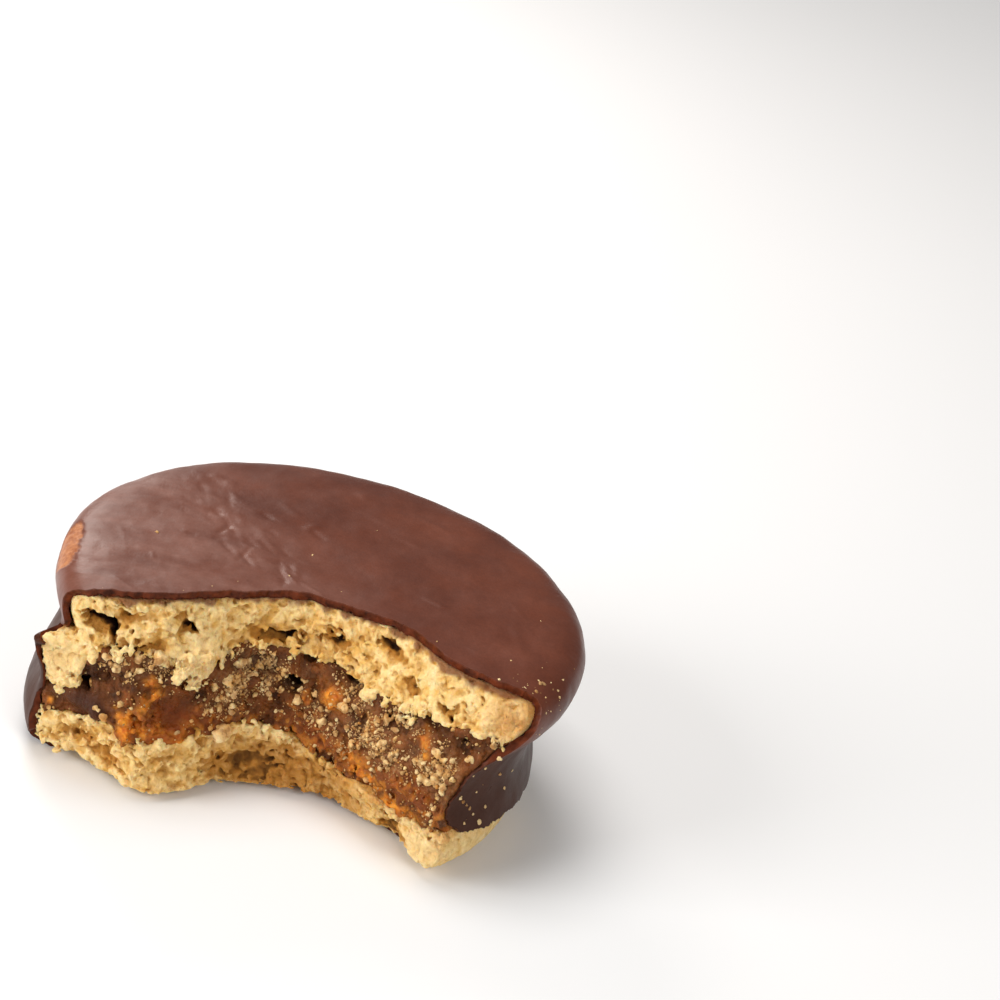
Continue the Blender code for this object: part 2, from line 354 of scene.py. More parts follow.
def crumb_material(name, pale, golden, deep, glow=0.55):
    material, tree, place = start_material(name)
    proud, toast, stain = mask_channels(tree, "marks")
    colour = mix(tree, speckle(tree, place, 800, 4.0, 0.36, 0.62), pale, golden)
    pores = speckle(tree, place, 1500, 3.0, 0.56, 0.72)
    colour = mix(tree, maths(tree, "MULTIPLY", pores, 0.75), colour, deep)
    # Light and shade painted from the proud channel: on the biscuits' broken faces proud tips get a pale painted
    # highlight, hollows the deep colour and pits near black as painted shade; on loose crumbs the channel is only a
    # random tone per crumb.
    painted_tip_highlight = node(tree, "MapRange", Value=proud, From_Min=0.70, From_Max=1.0, To_Max=0.45).outputs[0]
    colour = mix(tree, painted_tip_highlight, colour, (0.97, 0.80, 0.47, 1))
    hollow = node(tree, "MapRange", Value=proud, From_Min=0.08, From_Max=0.75).outputs[0]
    colour = mix(tree, hollow, deep, colour)
    pit = node(tree, "MapRange", Value=proud, From_Max=0.10).outputs[0]
    colour = mix(tree, pit, (0.030, 0.010, 0.004, 1), colour)
    colour = mix(tree, toast, colour, (0.62, 0.28, 0.065, 1))
    colour = mix(tree, stain, colour, (0.20, 0.055, 0.022, 1))
    shade = mix(tree, speckle(tree, place, 2600, 3.0), (0.92, 0.88, 0.80, 1), (1.06, 1.06, 1.06, 1))
    colour = mix(tree, 1.0, colour, shade, "MULTIPLY")
    grit = node(tree, "TexNoise", Vector=place, Scale=2300, Detail=4.0, Roughness=0.7).outputs["Fac"]
    grit = maths(tree, "SUBTRACT", grit, maths(tree, "MULTIPLY", pores, 0.5))
    finish_material(
        tree, Base_Color=colour, Roughness=0.85, Specular_IOR_Level=0.15,
        Normal=bump(tree, grit, 0.7, 0.0004),
        Subsurface_Weight=glow, Subsurface_Radius=(1.0, 0.66, 0.34), Subsurface_Scale=0.0005,
    )
    return material


def caramel_material():
    material, tree, place = start_material("caramel_filling")
    proud, fresh_and_glow, smeared = mask_channels(tree, "marks")
    powder, pool, _ = mask_channels(tree, "cover")
    dark = mix(tree, speckle(tree, place, 420, 3.0), (0.045, 0.013, 0.004, 1), (0.25, 0.075, 0.016, 1))
    dark = mix(tree, smeared, dark, (0.062, 0.019, 0.008, 1))
    dark = mix(tree, pool, dark, (0.27, 0.058, 0.008, 1))
    # The orange of torn caramel is partly its own colour and partly a painted glow of light shining through thin
    # torn edges.
    warm = mix(tree, speckle(tree, place, 900), (0.88, 0.34, 0.035, 1), (0.50, 0.12, 0.012, 1))
    colour = mix(tree, fresh_and_glow, dark, warm)
    # Painted shade: caramel deep behind the wall is coloured nearly black.
    colour = mix(tree, proud, (0.030, 0.009, 0.004, 1), colour)
    grain = speckle(tree, place, 2400, 3.0, 0.38, 0.62)
    dusty = maths(tree, "MULTIPLY", powder, maths(tree, "ADD", grain, 0.15))
    dusted = mix(tree, speckle(tree, place, 1500), (0.34, 0.165, 0.060, 1), (0.58, 0.35, 0.155, 1))
    colour = mix(tree, dusty, colour, dusted)
    uneven = node(tree, "TexNoise", Vector=place, Scale=1500, Detail=3.0).outputs["Fac"]
    rough = node(tree, "MapRange", Value=speckle(tree, place, 1300), To_Min=0.30, To_Max=0.60).outputs[0]
    rough = maths(tree, "ADD", rough, maths(tree, "MULTIPLY", powder, 0.3))
    finish_material(
        tree, Base_Color=colour, Roughness=rough, Specular_IOR_Level=0.15,
        Normal=bump(tree, uneven, 0.9, 0.0005),
        Subsurface_Weight=0.25, Subsurface_Radius=(1.0, 0.35, 0.1), Subsurface_Scale=0.0008,
    )
    return material


def chocolate_material():
    """Dark at the waist and milky on the upper biscuit, where it also shines more; left of the ripples the top is
    painted lighter and greyer, a painted sheen of reflected light.
    """
    material, tree, place = start_material("chocolate_coat")
    edge, bare, bloom_and_sheen = mask_channels(tree, "marks")
    milk = node(tree, "MapRange", Value=bloom_and_sheen, From_Max=0.55).outputs[0]
    # Painted sheen: left of the ripples the top is mixed in slanted streaks towards a lighter, greyer brown that
    # stands for reflected light.
    slanted = node(tree, "Mapping", Vector=place, Rotation=(0, 0, 0.85), Scale=(1.0, 3.5, 1.0)).outputs[0]
    sheen_streaks = speckle(tree, slanted, 110, 5.0, 0.32, 0.62)
    sheen_streaks = maths(tree, "ADD", maths(tree, "MULTIPLY", sheen_streaks, 0.75), 0.25)
    painted_sheen = maths(tree, "MULTIPLY", node(tree, "MapRange", Value=bloom_and_sheen, From_Min=0.55).outputs[0], sheen_streaks)
    dark = mix(tree, speckle(tree, place, 120, 4.0), (0.044, 0.015, 0.008, 1), (0.068, 0.024, 0.013, 1))
    milky = mix(tree, speckle(tree, place, 140, 6.0), (0.098, 0.023, 0.010, 1), (0.150, 0.038, 0.017, 1))
    sheen_colour = mix(tree, speckle(tree, place, 300, 5.0), (0.170, 0.062, 0.040, 1), (0.205, 0.078, 0.052, 1))
    colour = mix(tree, painted_sheen, mix(tree, milk, dark, milky), sheen_colour)
    shade = mix(tree, speckle(tree, place, 2500, 3.0), (0.92, 0.91, 0.90, 1), (1.07, 1.08, 1.09, 1))
    colour = mix(tree, 1.0, colour, shade, "MULTIPLY")
    # Painted shade: the broken faces of the coating and its hidden lining are coloured darker, as if in shadow, in
    # dark to red-brown.
    broken = mix(tree, speckle(tree, place, 900, 3.0), (0.045, 0.010, 0.004, 1), (0.17, 0.036, 0.012, 1))
    colour = mix(tree, edge, colour, broken)
    baked = mix(tree, speckle(tree, place, 1400, 4.0), (0.52, 0.22, 0.095, 1), (0.30, 0.095, 0.040, 1))
    colour = mix(tree, bare, colour, baked)
    normal = bump(tree, chocolate_grain(tree, place, slanted), 1.0, MM)
    rough = node(tree, "MapRange", Value=speckle(tree, place, 200, 4.0), To_Min=0.33, To_Max=0.50).outputs[0]
    shiny = node(tree, "BsdfPrincipled", Base_Color=colour, Roughness=rough, Specular_IOR_Level=0.32, Normal=normal)
    calm = node(tree, "BsdfPrincipled", Base_Color=colour, Roughness=rough, Specular_IOR_Level=0.10, Normal=normal)
    gloss = maths(tree, "SUBTRACT", milk, maths(tree, "MAXIMUM", edge, bare))
    blend = node(tree, "MixShader", i0=gloss, i1=calm.outputs[0], i2=shiny.outputs[0])
    node(tree, "OutputMaterial", Surface=blend.outputs[0])
    return material


def chocolate_grain(tree, place, slanted):
    """Heights in millimetres of soft dents, drag marks, finger lines and fine grain."""
    dents = node(tree, "TexNoise", Vector=place, Scale=330, Detail=3.0).outputs["Fac"]
    drags = node(tree, "TexNoise", Vector=slanted, Scale=330, Detail=4.0).outputs["Fac"]
    fine = node(tree, "TexNoise", Vector=place, Scale=4500, Detail=2.0).outputs["Fac"]
    props = {"wave_type": "RINGS"}
    moved = node(tree, "Mapping", Vector=place, Location=(0.012, 0.03, 0.0)).outputs[0]
    lines = node(tree, "TexWave", props, Vector=moved, Scale=640, Distortion=5.0, Detail=2.0, Detail_Scale=0.6)
    patches = speckle(tree, place, 85, 1.0, 0.52, 0.62)
    total = maths(tree, "MULTIPLY", dents, 0.08)
    for height, amount in ((drags, 0.03), (fine, 0.016)):
        total = maths(tree, "ADD", total, maths(tree, "MULTIPLY", height, amount))
    printed = maths(tree, "MULTIPLY", maths(tree, "MULTIPLY", lines.outputs["Fac"], patches), 0.004)
    return maths(tree, "ADD", total, printed)


def floor_material():
    material, tree, place = start_material("pale_floor")
    colour = mix(tree, speckle(tree, place, 6), (0.90, 0.90, 0.90, 1), (0.92, 0.92, 0.92, 1))
    finish_material(tree, Base_Color=colour, Roughness=0.6, Specular_IOR_Level=0.2)
    return material


# ---------------------------------------------------------------------------------------------
# Solids from fields
# ---------------------------------------------------------------------------------------------

STEP = 0.154  # size of the crumb's finest detail
FRONT = 3.4  # how far fine detail reaches before and behind the bite's wall


class Block:
    """A field on a grid that follows the bite's wall: negative in the solid, positive outside.

    Its three directions are across the cookie, back from the wall, and up.
    """

    def __init__(self, x_range, z_range, step=STEP, depth=62):
        self.x = np.arange(x_range[0], x_range[1] + step, step)
        self.z = np.arange(z_range[0], z_range[1] + step, step)
        fine = np.arange(-FRONT, FRONT + step, step)
        far = [fine[-1]]
        while far[-1] < depth:
            far.append(far[-1] + max(step, 0.35 * (far[-1] - FRONT)))
        self.w = np.concatenate([fine, far[1:]])
        self.fine = len(fine)
        self.wall = wall_y(self.x[:, None], self.z[None, :])
        self.px = self.x[:, None, None]
        self.pz = self.z[None, None, :]
        self.py = self.w[None, :, None] + self.wall[:, None, :]
        self.depth = self.w[None, :, None]
        self.field = np.zeros(self.py.shape, np.float32)

    def side(self):
        """The field of the cookie's side and top, just inside the coating."""
        return outside_distance(self.px, self.py, self.pz) + coating_depth(self.pz) + 0.03

    def broad(self, parts):
        """Low unevenness close to the wall: amount, lump size, flattening and seed of each part."""
        result = np.zeros(self.field.shape, np.float32)
        y = self.py[:, : self.fine]
        for amount, size, squash, seed in parts:
            result[:, : self.fine] += amount * noise(self.px, y, self.pz * squash, size, seed)
        return result

    def detail(self, where, shape):
        """The relief that shape() gives at the chosen grid points, and none elsewhere."""
        result = np.zeros(self.field.shape, np.float32)
        i, j, k = np.nonzero(where)
        result[i, j, k] = shape(self.x[i], self.py[i, j, k], self.z[k])
        return result

    def ball(self, centre, radius, grit, hollow=False, reach=0.6):
        """Adds an uneven ball to the solid, or takes one out of it."""
        x, y, z = centre
        reach += radius
        x_low, x_high = np.searchsorted(self.x, (x - reach, x + reach))
        z_low, z_high = np.searchsorted(self.z, (z - reach, z + reach))
        if x_low >= x_high or z_low >= z_high:
            return
        wall = self.wall[x_low:x_high, z_low:z_high]
        front, back = np.searchsorted(self.w, (y - reach - wall.max(), y + reach - wall.min()))
        if front >= back:
            return
        window = (slice(x_low, x_high), slice(front, back), slice(z_low, z_high))
        dx, dy, dz = self.px[window[0]] - x, self.py[window] - y, self.pz[:, :, window[2]] - z
        away = np.sqrt(dx * dx + dy * dy + dz * dz) - radius + grit[window]
        if hollow:
            self.field[window] = np.maximum(self.field[window], -away)
        else:
            self.field[window] = np.minimum(self.field[window], away)

    def surface(self):
        """The field's zero surface as points, four-cornered faces and depths behind the wall."""
        f = self.field
        solid = f < 0
        corners = [(i, j, k) for i in (0, 1) for j in (0, 1) for k in (0, 1)]
        size = np.array(f.shape) - 1
        count = np.zeros(size, np.int8)
        for i, j, k in corners:
            count += solid[i : i + size[0], j : j + size[1], k : k + size[2]]
        active = np.argwhere((count > 0) & (count < 8))
        index = np.full(size, -1, np.int64)
        index[tuple(active.T)] = np.arange(len(active))
        values = [f[tuple((active + c).T)] for c in corners]
        place = np.zeros((len(active), 3))
        crossings = np.zeros(len(active))
        for a, ca in enumerate(corners):
            for b, cb in enumerate(corners):
                if b <= a or sum(abs(p - q) for p, q in zip(ca, cb)) != 1:
                    continue
                va, vb = values[a], values[b]
                cut = (va < 0) != (vb < 0)
                t = np.where(cut, va / np.where(cut, va - vb, 1), 0)[:, None]
                place += np.where(cut[:, None], np.array(ca) + t * (np.array(cb) - np.array(ca)), 0)
                crossings += cut
        place = active + place / crossings[:, None]
        faces = []
        for axis in range(3):
            others = [(axis + 1) % 3, (axis + 2) % 3]
            ahead = tuple(slice(1, None) if a == axis else slice(None) for a in range(3))
            behind = tuple(slice(None, -1) if a == axis else slice(None) for a in range(3))
            for leaving in (True, False):
                start, end = solid[behind], solid[ahead]
                edges = np.argwhere(start & ~end if leaving else ~start & end)
                inner = [(edges[:, o] > 0) & (edges[:, o] < f.shape[o] - 1) for o in others]
                edges = edges[np.all(inner, axis=0)]
                quad = []
                for p, q in ((0, 0), (1, 0), (1, 1), (0, 1)):
                    cell = edges.copy()
                    cell[:, others[0]] -= 1 - p
                    cell[:, others[1]] -= 1 - q
                    quad.append(index[tuple(cell.T)])
                quad = np.stack(quad, 1)
                faces.append(quad if leaving else quad[:, ::-1])
        points = np.empty_like(place)
        points[:, 0] = np.interp(place[:, 0], np.arange(len(self.x)), self.x)
        points[:, 2] = np.interp(place[:, 2], np.arange(len(self.z)), self.z)
        back = np.interp(place[:, 1], np.arange(len(self.w)), self.w)
        points[:, 1] = back + wall_y(points[:, 0], points[:, 2])
        return points, np.concatenate(faces), back


def main_body(points, faces, back):
    """Only the largest connected surface, so that nothing floats."""
    label = np.arange(len(points))
    edges = np.concatenate([faces[:, [0, 1]], faces[:, [1, 2]], faces[:, [2, 3]]])
    while True:
        low = np.minimum(label[edges[:, 0]], label[edges[:, 1]])
        new = label.copy()
        np.minimum.at(new, edges[:, 0], low)
        np.minimum.at(new, edges[:, 1], low)
        new = new[new]
        if np.array_equal(new, label):
            break
        label = new
    kept = label == np.bincount(label).argmax()
    number = np.cumsum(kept) - 1
    return points[kept], number[faces[kept[faces[:, 0]]]], back[kept]


HIDDEN_DEPTH = 4.6  # behind the wall, where the coating and the other layers cover a piece
HIDDEN_STEP = 1.1


def thin_out(points, faces, back):
    """Triangles of the surface, with the hidden part behind the bite made coarse."""
    hidden = back > HIDDEN_DEPTH
    cell = np.floor(points / HIDDEN_STEP).astype(np.int64) + 100
    key = (cell[:, 0] * 1000 + cell[:, 1]) * 1000 + cell[:, 2]
    key = np.where(hidden, key, -1 - np.arange(len(points)))
    _, group = np.unique(key, return_inverse=True)
    count = np.bincount(group)
    merged = np.stack([np.bincount(group, points[:, k]) / count for k in range(3)], 1)
    depth = np.bincount(group, back) / count
    triangles = group[np.concatenate([faces[:, [0, 1, 2]], faces[:, [0, 2, 3]]])]
    a, b, c = triangles.T
    triangles = triangles[(a != b) & (b != c) & (c != a)]
    _, first = np.unique(np.sort(triangles, axis=1), axis=0, return_index=True)
    return merged, triangles[np.sort(first)], depth


def add_mesh(name, points, faces, node_name, slot, **colours):
    """A smooth mesh from points in millimetres, with named values from 0 to 1 at its points."""
    mesh = bpy.data.meshes.new(name)
    mesh.vertices.add(len(points))
    mesh.vertices.foreach_set("co", (points * MM).astype(np.float32).ravel())
    mesh.loops.add(faces.size)
    mesh.loops.foreach_set("vertex_index", faces.astype(np.int32).ravel())
    mesh.polygons.add(len(faces))
    corners = faces.shape[1]
    mesh.polygons.foreach_set("loop_start", np.arange(0, faces.size, corners, dtype=np.int32))
    mesh.update(calc_edges=True)
    for key, channels in colours.items():
        layer = mesh.color_attributes.new(key, "FLOAT_COLOR", "POINT")
        full = np.ones((len(points), 4), np.float32)
        for k, channel in enumerate(channels):
            full[:, k] = np.clip(channel, 0, 1)
        layer.data.foreach_set("color", full.ravel())
    mesh.shade_smooth()
    thing = bpy.data.objects.new(name, mesh)
    bpy.context.scene.collection.objects.link(thing)
    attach(thing, "root")
    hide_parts(node_name)
    print(name, len(points), len(faces))
    return thing


def mounds(x, z, places):
    """Rises and hollows on the broken face: place across, height, half-sizes and amount of each."""
    total = 0.0
    for middle, height, half_width, half_height, amount in places:
        away = ((x - middle) / half_width) ** 2 + ((z - height) / half_height) ** 2
        total = total + amount * np.exp(-(away**1.5))
    return total


# ---------------------------------------------------------------------------------------------
# Biscuits
# ---------------------------------------------------------------------------------------------

# PALE and GOLDEN are the crumb's own tones; DEEP is its darker golden-brown, which also serves as painted shade in
# the hollows of the broken faces.
PALE = (0.93, 0.69, 0.315, 1)
GOLDEN = (0.84, 0.51, 0.145, 1)
DEEP = (0.50, 0.225, 0.038, 1)

# Place across, height, half-width, half-height and rise of each form on the bitten face
UPPER_MOUNDS = [
    (-26.6, 21.4, 1.3, 0.45, -6.0),
    (-25.2, 21.0, 0.9, 0.50, -6.0),
    (-24.2, 20.3, 0.7, 0.50, -5.5),
    (-23.5, 19.5, 0.45, 0.9, -4.5),
    (-26.0, 20.2, 1.2, 0.6, -2.2),
    (-22.6, 21.4, 1.8, 0.8, -1.0),
    (-24.0, 16.6, 0.5, 1.0, -3.0),
    (-15.3, 20.7, 1.0, 0.7, -1.8),
    (-14.4, 20.2, 0.5, 0.4, -1.6),
    (-5.5, 19.7, 2.2, 0.7, -1.8),
    (-2.9, 19.4, 1.2, 0.5, -1.2),
    (2.4, 20.5, 1.5, 0.5, -1.6),
    (9.6, 21.6, 1.3, 0.7, -1.8),
    (12.6, 19.4, 0.9, 0.6, -1.6),
    (17.2, 19.4, 0.9, 0.5, -1.5),
    (-30.0, 14.6, 3.0, 3.4, 1.3),
    (-13.2, 17.0, 2.0, 2.4, 1.3),
    (-19.8, 18.6, 2.2, 0.9, -0.9),
    (24.7, 20.6, 3.0, 1.8, 0.5),
]
LOWER_MOUNDS = [
    (-25.0, 4.6, 3.0, 1.4, -0.6),
    (-22.0, 3.4, 2.4, 0.9, -0.6),
    (9.5, 6.0, 4.5, 1.6, 1.6),
    (18.8, 3.6, 3.2, 2.4, 0.9),
    (13.4, 1.6, 1.6, 2.2, -1.6),
    (17.3, 1.5, 1.9, 1.8, 1.0),
    (-6.0, 3.5, 5.0, 2.0, -0.7),
]


def crumb_detail(x, y, z, seed):
    """Porous crumb in millimetres forward: soft lumps, pores, and granules where it tore most."""
    x = x + 0.35 * noise(x, y, z, 1.3, seed)
    z = z + 0.35 * noise(x, y, z, 1.3, seed + 1)
    lower_edge = smooth_step((filling_top(x, 0.0 * x) + 3.2 - z) / 2.4) * (z > 11)
    loose = np.maximum(lower_edge, 0.35 + 0.45 * (z < 11)) + 0.5 * noise(x, y, z, 3.5, seed + 6)
    granules = 0.60 * grains(x, y, z * 1.2, 1.15, seed + 2) + 0.45 * grains(x, y, z, 0.55, seed + 3) - 0.26
    soft = 0.40 * noise(x, y, z * 1.4, 1.7, seed + 4) + 0.28 * noise(x, y, z, 0.85, seed + 7)
    soft = soft + 0.24 * noise(x, y, z, 0.42, seed + 8)
    pits = -0.55 * smooth_step((noise(x, y, z * 1.7, 1.2, seed + 5) - 0.32) / 0.25)
    return soft + np.clip(loose, 0.1, 1) * granules + pits


def crumb_broad(block, seed):
    return block.broad([(0.50, 4.5, 1.0, seed), (0.50, 2.4, 1.5, seed + 1)])


def crumb_solid(block, base, seed, places, hanging, squash=0.45):
    """Fills the block's field with a broken biscuit; base is the field of its meeting face."""
    bend = 0.8 * noise(block.px, block.py[:, : block.fine], block.pz, 1.6, seed + 11)
    bend = bend + 0.5 * noise(block.px, block.py[:, : block.fine], block.pz, 0.7, seed + 12)
    rises = np.zeros(block.field.shape, np.float32)
    rises[:, : block.fine] = mounds(block.px + bend, block.pz - bend, places)
    relief = crumb_broad(block, seed) + rises
    near = (np.abs(block.depth + relief) < 1.5) | ((np.abs(base) < 1.0) & (block.depth < 3.0))
    near |= (block.px < -26.0) & (block.pz < 19.5) & (block.depth < 3.0)
    near |= (block.px > 12.0) & (block.pz < 6.5) & (np.abs(block.side()) < 0.7)
    torn = smooth_step((-26.5 - block.px) / 1.5) * smooth_step((19.0 - block.pz) / 1.0)
    near[:, block.fine :] = False
    fine = block.detail(near, lambda x, y, z: crumb_detail(x, y, z, seed + 20))
    torn = np.maximum(torn, 0.3 * (block.px > 12.0) * smooth_step((6.5 - block.pz) / 1.5))
    shell = np.maximum(block.side() - torn * fine, base - squash * (relief + fine))
    block.field = np.maximum(shell, -0.8 * (block.depth + relief + fine)).astype(np.float32)
    rng = np.random.default_rng(seed)
    for x, z, forward, radius in hanging(rng):
        y = float(wall_y(np.array(x), np.array(z))) + forward
        block.ball((x, y, z), radius, -1.2 * fine)
    return thin_out(*main_body(*block.surface()))


def painted_crevice_shade(points, back, seed):
    """1 on the proud granules of a broken face, 0 down in its creases and hollows and deep behind the wall; the
    crumb material paints low values dark as painted shade and high ones with a painted highlight.
    """
    x, y, z = points.T
    low = 0.50 * noise(x, y, z, 4.5, seed) + 0.50 * noise(x, y, z * 1.5, 2.4, seed + 1)
    local = -back - low
    # Painted shade: the deeper a point lies in a crease or behind the wall, the lower the value.
    painted_cavity_shade = (0.14 + 0.86 * smooth_step((local + 0.75) / 1.0)) * smooth_step(1 - (back - 0.7) / 1.2)
    skin = smooth_step((outside_distance(x, y, z) + COATING + 0.4) / 0.3)
    return np.maximum(painted_cavity_shade, 0.9 * skin)


def upper_hangings(rng):
    """Crumbs that cling under the upper biscuit: place across, height, place forward, radius."""
    for _ in range(60):
        x = rng.uniform(-31, 27)
        top = float(filling_top(np.array(x), np.array(0.0)))
        yield x, top + rng.uniform(-0.7, 0.6), rng.uniform(-0.5, 0.4), rng.uniform(0.25, 0.75)
    for _ in range(16):
        yield rng.uniform(-15.6, -12.0), rng.uniform(14.8, 18.0), rng.uniform(-1.2, -0.3), rng.uniform(0.4, 0.9)


def upper_biscuit():
    block = Block((-35.6, 33.5), (7.5, 24.4))
    base = filling_top(block.px, block.depth) - block.pz + 0.05
    points, faces, back = crumb_solid(block, base, 11, UPPER_MOUNDS, upper_hangings)
    x, y, z = points.T
    uneven = noise(x, y, z, 2.0, 81)
    baked = np.exp(-(((x - 25.5) / 3.6) ** 2 + ((z - 21.5) / 3.0) ** 2))
    warm = 0.25 * np.exp(-(((x + 30.0) / 2.0) ** 2 + ((z - 14.5) / 2.0) ** 2))
    toast = (baked + warm) * (0.7 + 0.5 * uneven)
    skin = smooth_step((outside_distance(x, y, z) + COATING + 0.5) / 0.5) * (back > 1.0)
    low = 23.2 - 0.7 * smooth_step((x - 6) / 12)
    stain = smooth_step((z - low + 0.7 * noise(x, y, z, 1.8, 82)) / 0.6) * smooth_step((1.6 - back) / 0.6)
    shaded = 0.32 * np.exp(-(((x + 1.0) / 9.0) ** 4 + ((z - 19.5) / 2.6) ** 4))
    # Painted shade: the first channel darkens the face's creases and hollows, and shaded darkens the middle of the
    # upper biscuit's face as if in shadow.
    masks = (painted_crevice_shade(points, back, 11) * (1 - shaded), toast + 0.8 * skin, 0.85 * stain)
    crumb = add_mesh("upper_biscuit_crumb", points, faces, "upper_biscuit", "upper_crumb", marks=masks)
    crumb.data.materials.append(crumb_material("upper_crumb", PALE, GOLDEN, DEEP))


def lower_hangings(rng):
    """Crumbs that stand up along the lower biscuit's upper edge."""
    for _ in range(50):
        x = rng.uniform(-30, 22)
        top = float(along(FILLING_BASE, np.array(x)))
        yield x, top + rng.uniform(-0.5, 0.2), rng.uniform(-0.5, 0.3), rng.uniform(0.25, 0.6)


def lower_biscuit():
    block = Block((-34.5, 31.0), (0.4, 10.5))
    base = block.pz - along(FILLING_BASE, block.px) + 0.05
    points, faces, back = crumb_solid(block, base, 41, LOWER_MOUNDS, lower_hangings)
    x, y, z = points.T
    uneven = noise(x, y, z, 2.0, 83)
    lip = 0.7 * np.exp(-(((x - 10.5) / 4.5) ** 2 + ((z - 7.0) / 1.6) ** 2))
    lip += 0.8 * np.exp(-(((x - 20.0) / 2.0) ** 2 + ((z - 6.5) / 0.9) ** 2))
    lip += 0.12 * smooth_step((x - 13.0) / 4.0)
    # Painted shade: the recess in the middle of the lower biscuit, and a little to its left, is coloured darker,
    # with a faint chocolate tint in the stain channel, as if in shadow.
    painted_recess_shade = np.exp(-(((x - 1.5) / 9.5) ** 4)) * (0.75 + 0.25 * uneven) * smooth_step((7.8 - z) / 2.0)
    painted_recess_shade = painted_recess_shade + 0.15 * np.exp(-(((x + 12.0) / 6.0) ** 4))
    proud = painted_crevice_shade(points, back, 41) * (1 - painted_recess_shade)
    masks = (proud, lip * (0.7 + 0.5 * uneven), 0.15 * painted_recess_shade)
    crumb = add_mesh("lower_biscuit_crumb", points, faces, "lower_biscuit", "lower_crumb", marks=masks)
    crumb.data.materials.append(crumb_material("lower_crumb", PALE, GOLDEN, DEEP))


# ---------------------------------------------------------------------------------------------
# Filling
# ---------------------------------------------------------------------------------------------

# Place across, height, half-width, half-height and rise of each form on the filling's face
FILLING_MOUNDS = [
    (-1.6, 13.9, 1.2, 1.0, -3.5),
    (-6.7, 16.4, 2.6, 1.2, -1.6),
    (0.4, 17.2, 1.6, 0.9, -1.4),
    (3.5, 14.5, 1.6, 1.4, 2.0),
    (0.3, 13.2, 0.6, 0.9, 1.2),
    (6.0, 16.6, 2.0, 0.9, -2.2),
    (7.6, 13.2, 1.2, 0.8, -1.6),
    (11.9, 18.2, 1.5, 1.0, -2.4),
    (10.9, 14.9, 0.9, 0.7, -1.4),
    (16.0, 17.8, 2.0, 0.8, -1.8),
    (19.7, 17.0, 1.6, 1.1, -1.6),
    (10.0, 12.4, 3.0, 1.4, 0.9),
    (-9.6, 6.7, 1.7, 1.1, 1.4),
    (-20.6, 9.6, 0.9, 0.9, 1.5),
    (-18.6, 11.6, 0.8, 1.1, 1.4),
    (-17.3, 13.2, 0.8, 1.0, 1.3),
    (-18.3, 14.6, 0.8, 0.7, 1.1),
    (-20.0, 7.4, 0.8, 1.4, 1.4),
    (-15.2, 10.6, 2.2, 2.4, -0.9),
    (-25.0, 9.2, 4.5, 1.2, 0.5),
    (-27.6, 11.6, 2.2, 0.6, -4.2),
    (-25.6, 12.2, 0.5, 0.9, -3.0),
    (-22.5, 14.0, 2.5, 2.5, -0.6),
    (15.6, 15.0, 1.0, 1.4, 0.9),
    (17.6, 14.6, 1.4, 1.3, 0.8),
    (19.5, 11.0, 2.5, 3.0, 0.4),
]

# Place across, height, half-width, half-height and strength of freshly torn, orange caramel, whose bright orange is
# partly a painted glow of light shining through thin torn caramel
FRESH_AND_GLOW = [
    (-20.9, 9.8, 0.9, 0.7, 1.0),
    (-19.7, 10.2, 1.0, 0.8, 1.0),
    (-18.4, 11.8, 0.7, 1.0, 1.0),
    (-17.3, 13.2, 0.6, 0.9, 1.0),
    (-18.1, 14.6, 0.8, 0.5, 1.0),
    (-20.0, 8.0, 0.9, 1.4, 1.0),
    (-18.0, 8.6, 2.2, 0.8, 0.8),
    (-13.1, 7.4, 2.6, 0.45, 0.8),
    (-9.6, 6.6, 1.2, 0.9, 0.6),
    (-6.3, 8.4, 0.9, 0.6, 0.9),
    (-3.2, 7.4, 1.1, 0.6, 1.0),
    (0.3, 13.2, 0.5, 0.8, 0.9),
    (3.5, 14.5, 1.5, 1.3, 1.0),
    (8.6, 14.2, 0.8, 0.6, 0.5),
    (6.6, 9.6, 2.5, 1.2, 0.45),
    (8.8, 8.0, 2.5, 0.7, 0.7),
    (13.6, 6.6, 3.0, 0.8, 0.9),
    (15.2, 15.6, 0.6, 1.0, 1.0),
    (16.0, 14.2, 0.9, 0.6, 1.0),
    (20.4, 7.1, 1.2, 0.5, 0.9),
    (-29.7, 7.8, 0.5, 0.5, 0.8),
]
SMOOTH = [
    (-25.3, 9.6, 4.2, 2.0, 1.0),
    (-15.2, 10.4, 2.4, 2.6, 0.8),
]
POOL = [
    (-15.4, 9.6, 2.6, 2.6, 1.0),
    (-17.2, 8.2, 2.6, 1.2, 0.8),
    (-11.5, 9.0, 2.5, 2.0, 0.5),
    (2.5, 9.8, 5.5, 1.8, 0.5),
    (14.0, 10.0, 5.0, 2.0, 0.5),
]


def caramel_detail(x, y, z):
    """Sticky lumps and grain, calmer where the filling was smeared smooth."""
    calm = 1 - 0.85 * np.clip(mounds(x, z, SMOOTH), 0, 1)
    lumps = 0.50 * noise(x, y, z, 1.2, 63) + 0.75 * grains(x, y, z, 0.95, 64) - 0.25
    lumps = lumps + 0.35 * grains(x, y, z, 0.5, 68) - 0.12
    torn = 0.6 * np.clip(mounds(x, z, FRESH_AND_GLOW), 0, 1) * noise(x, y, z, 0.7, 66)
    return calm * (lumps + 0.16 * noise(x, y, z, 0.45, 65)) + torn


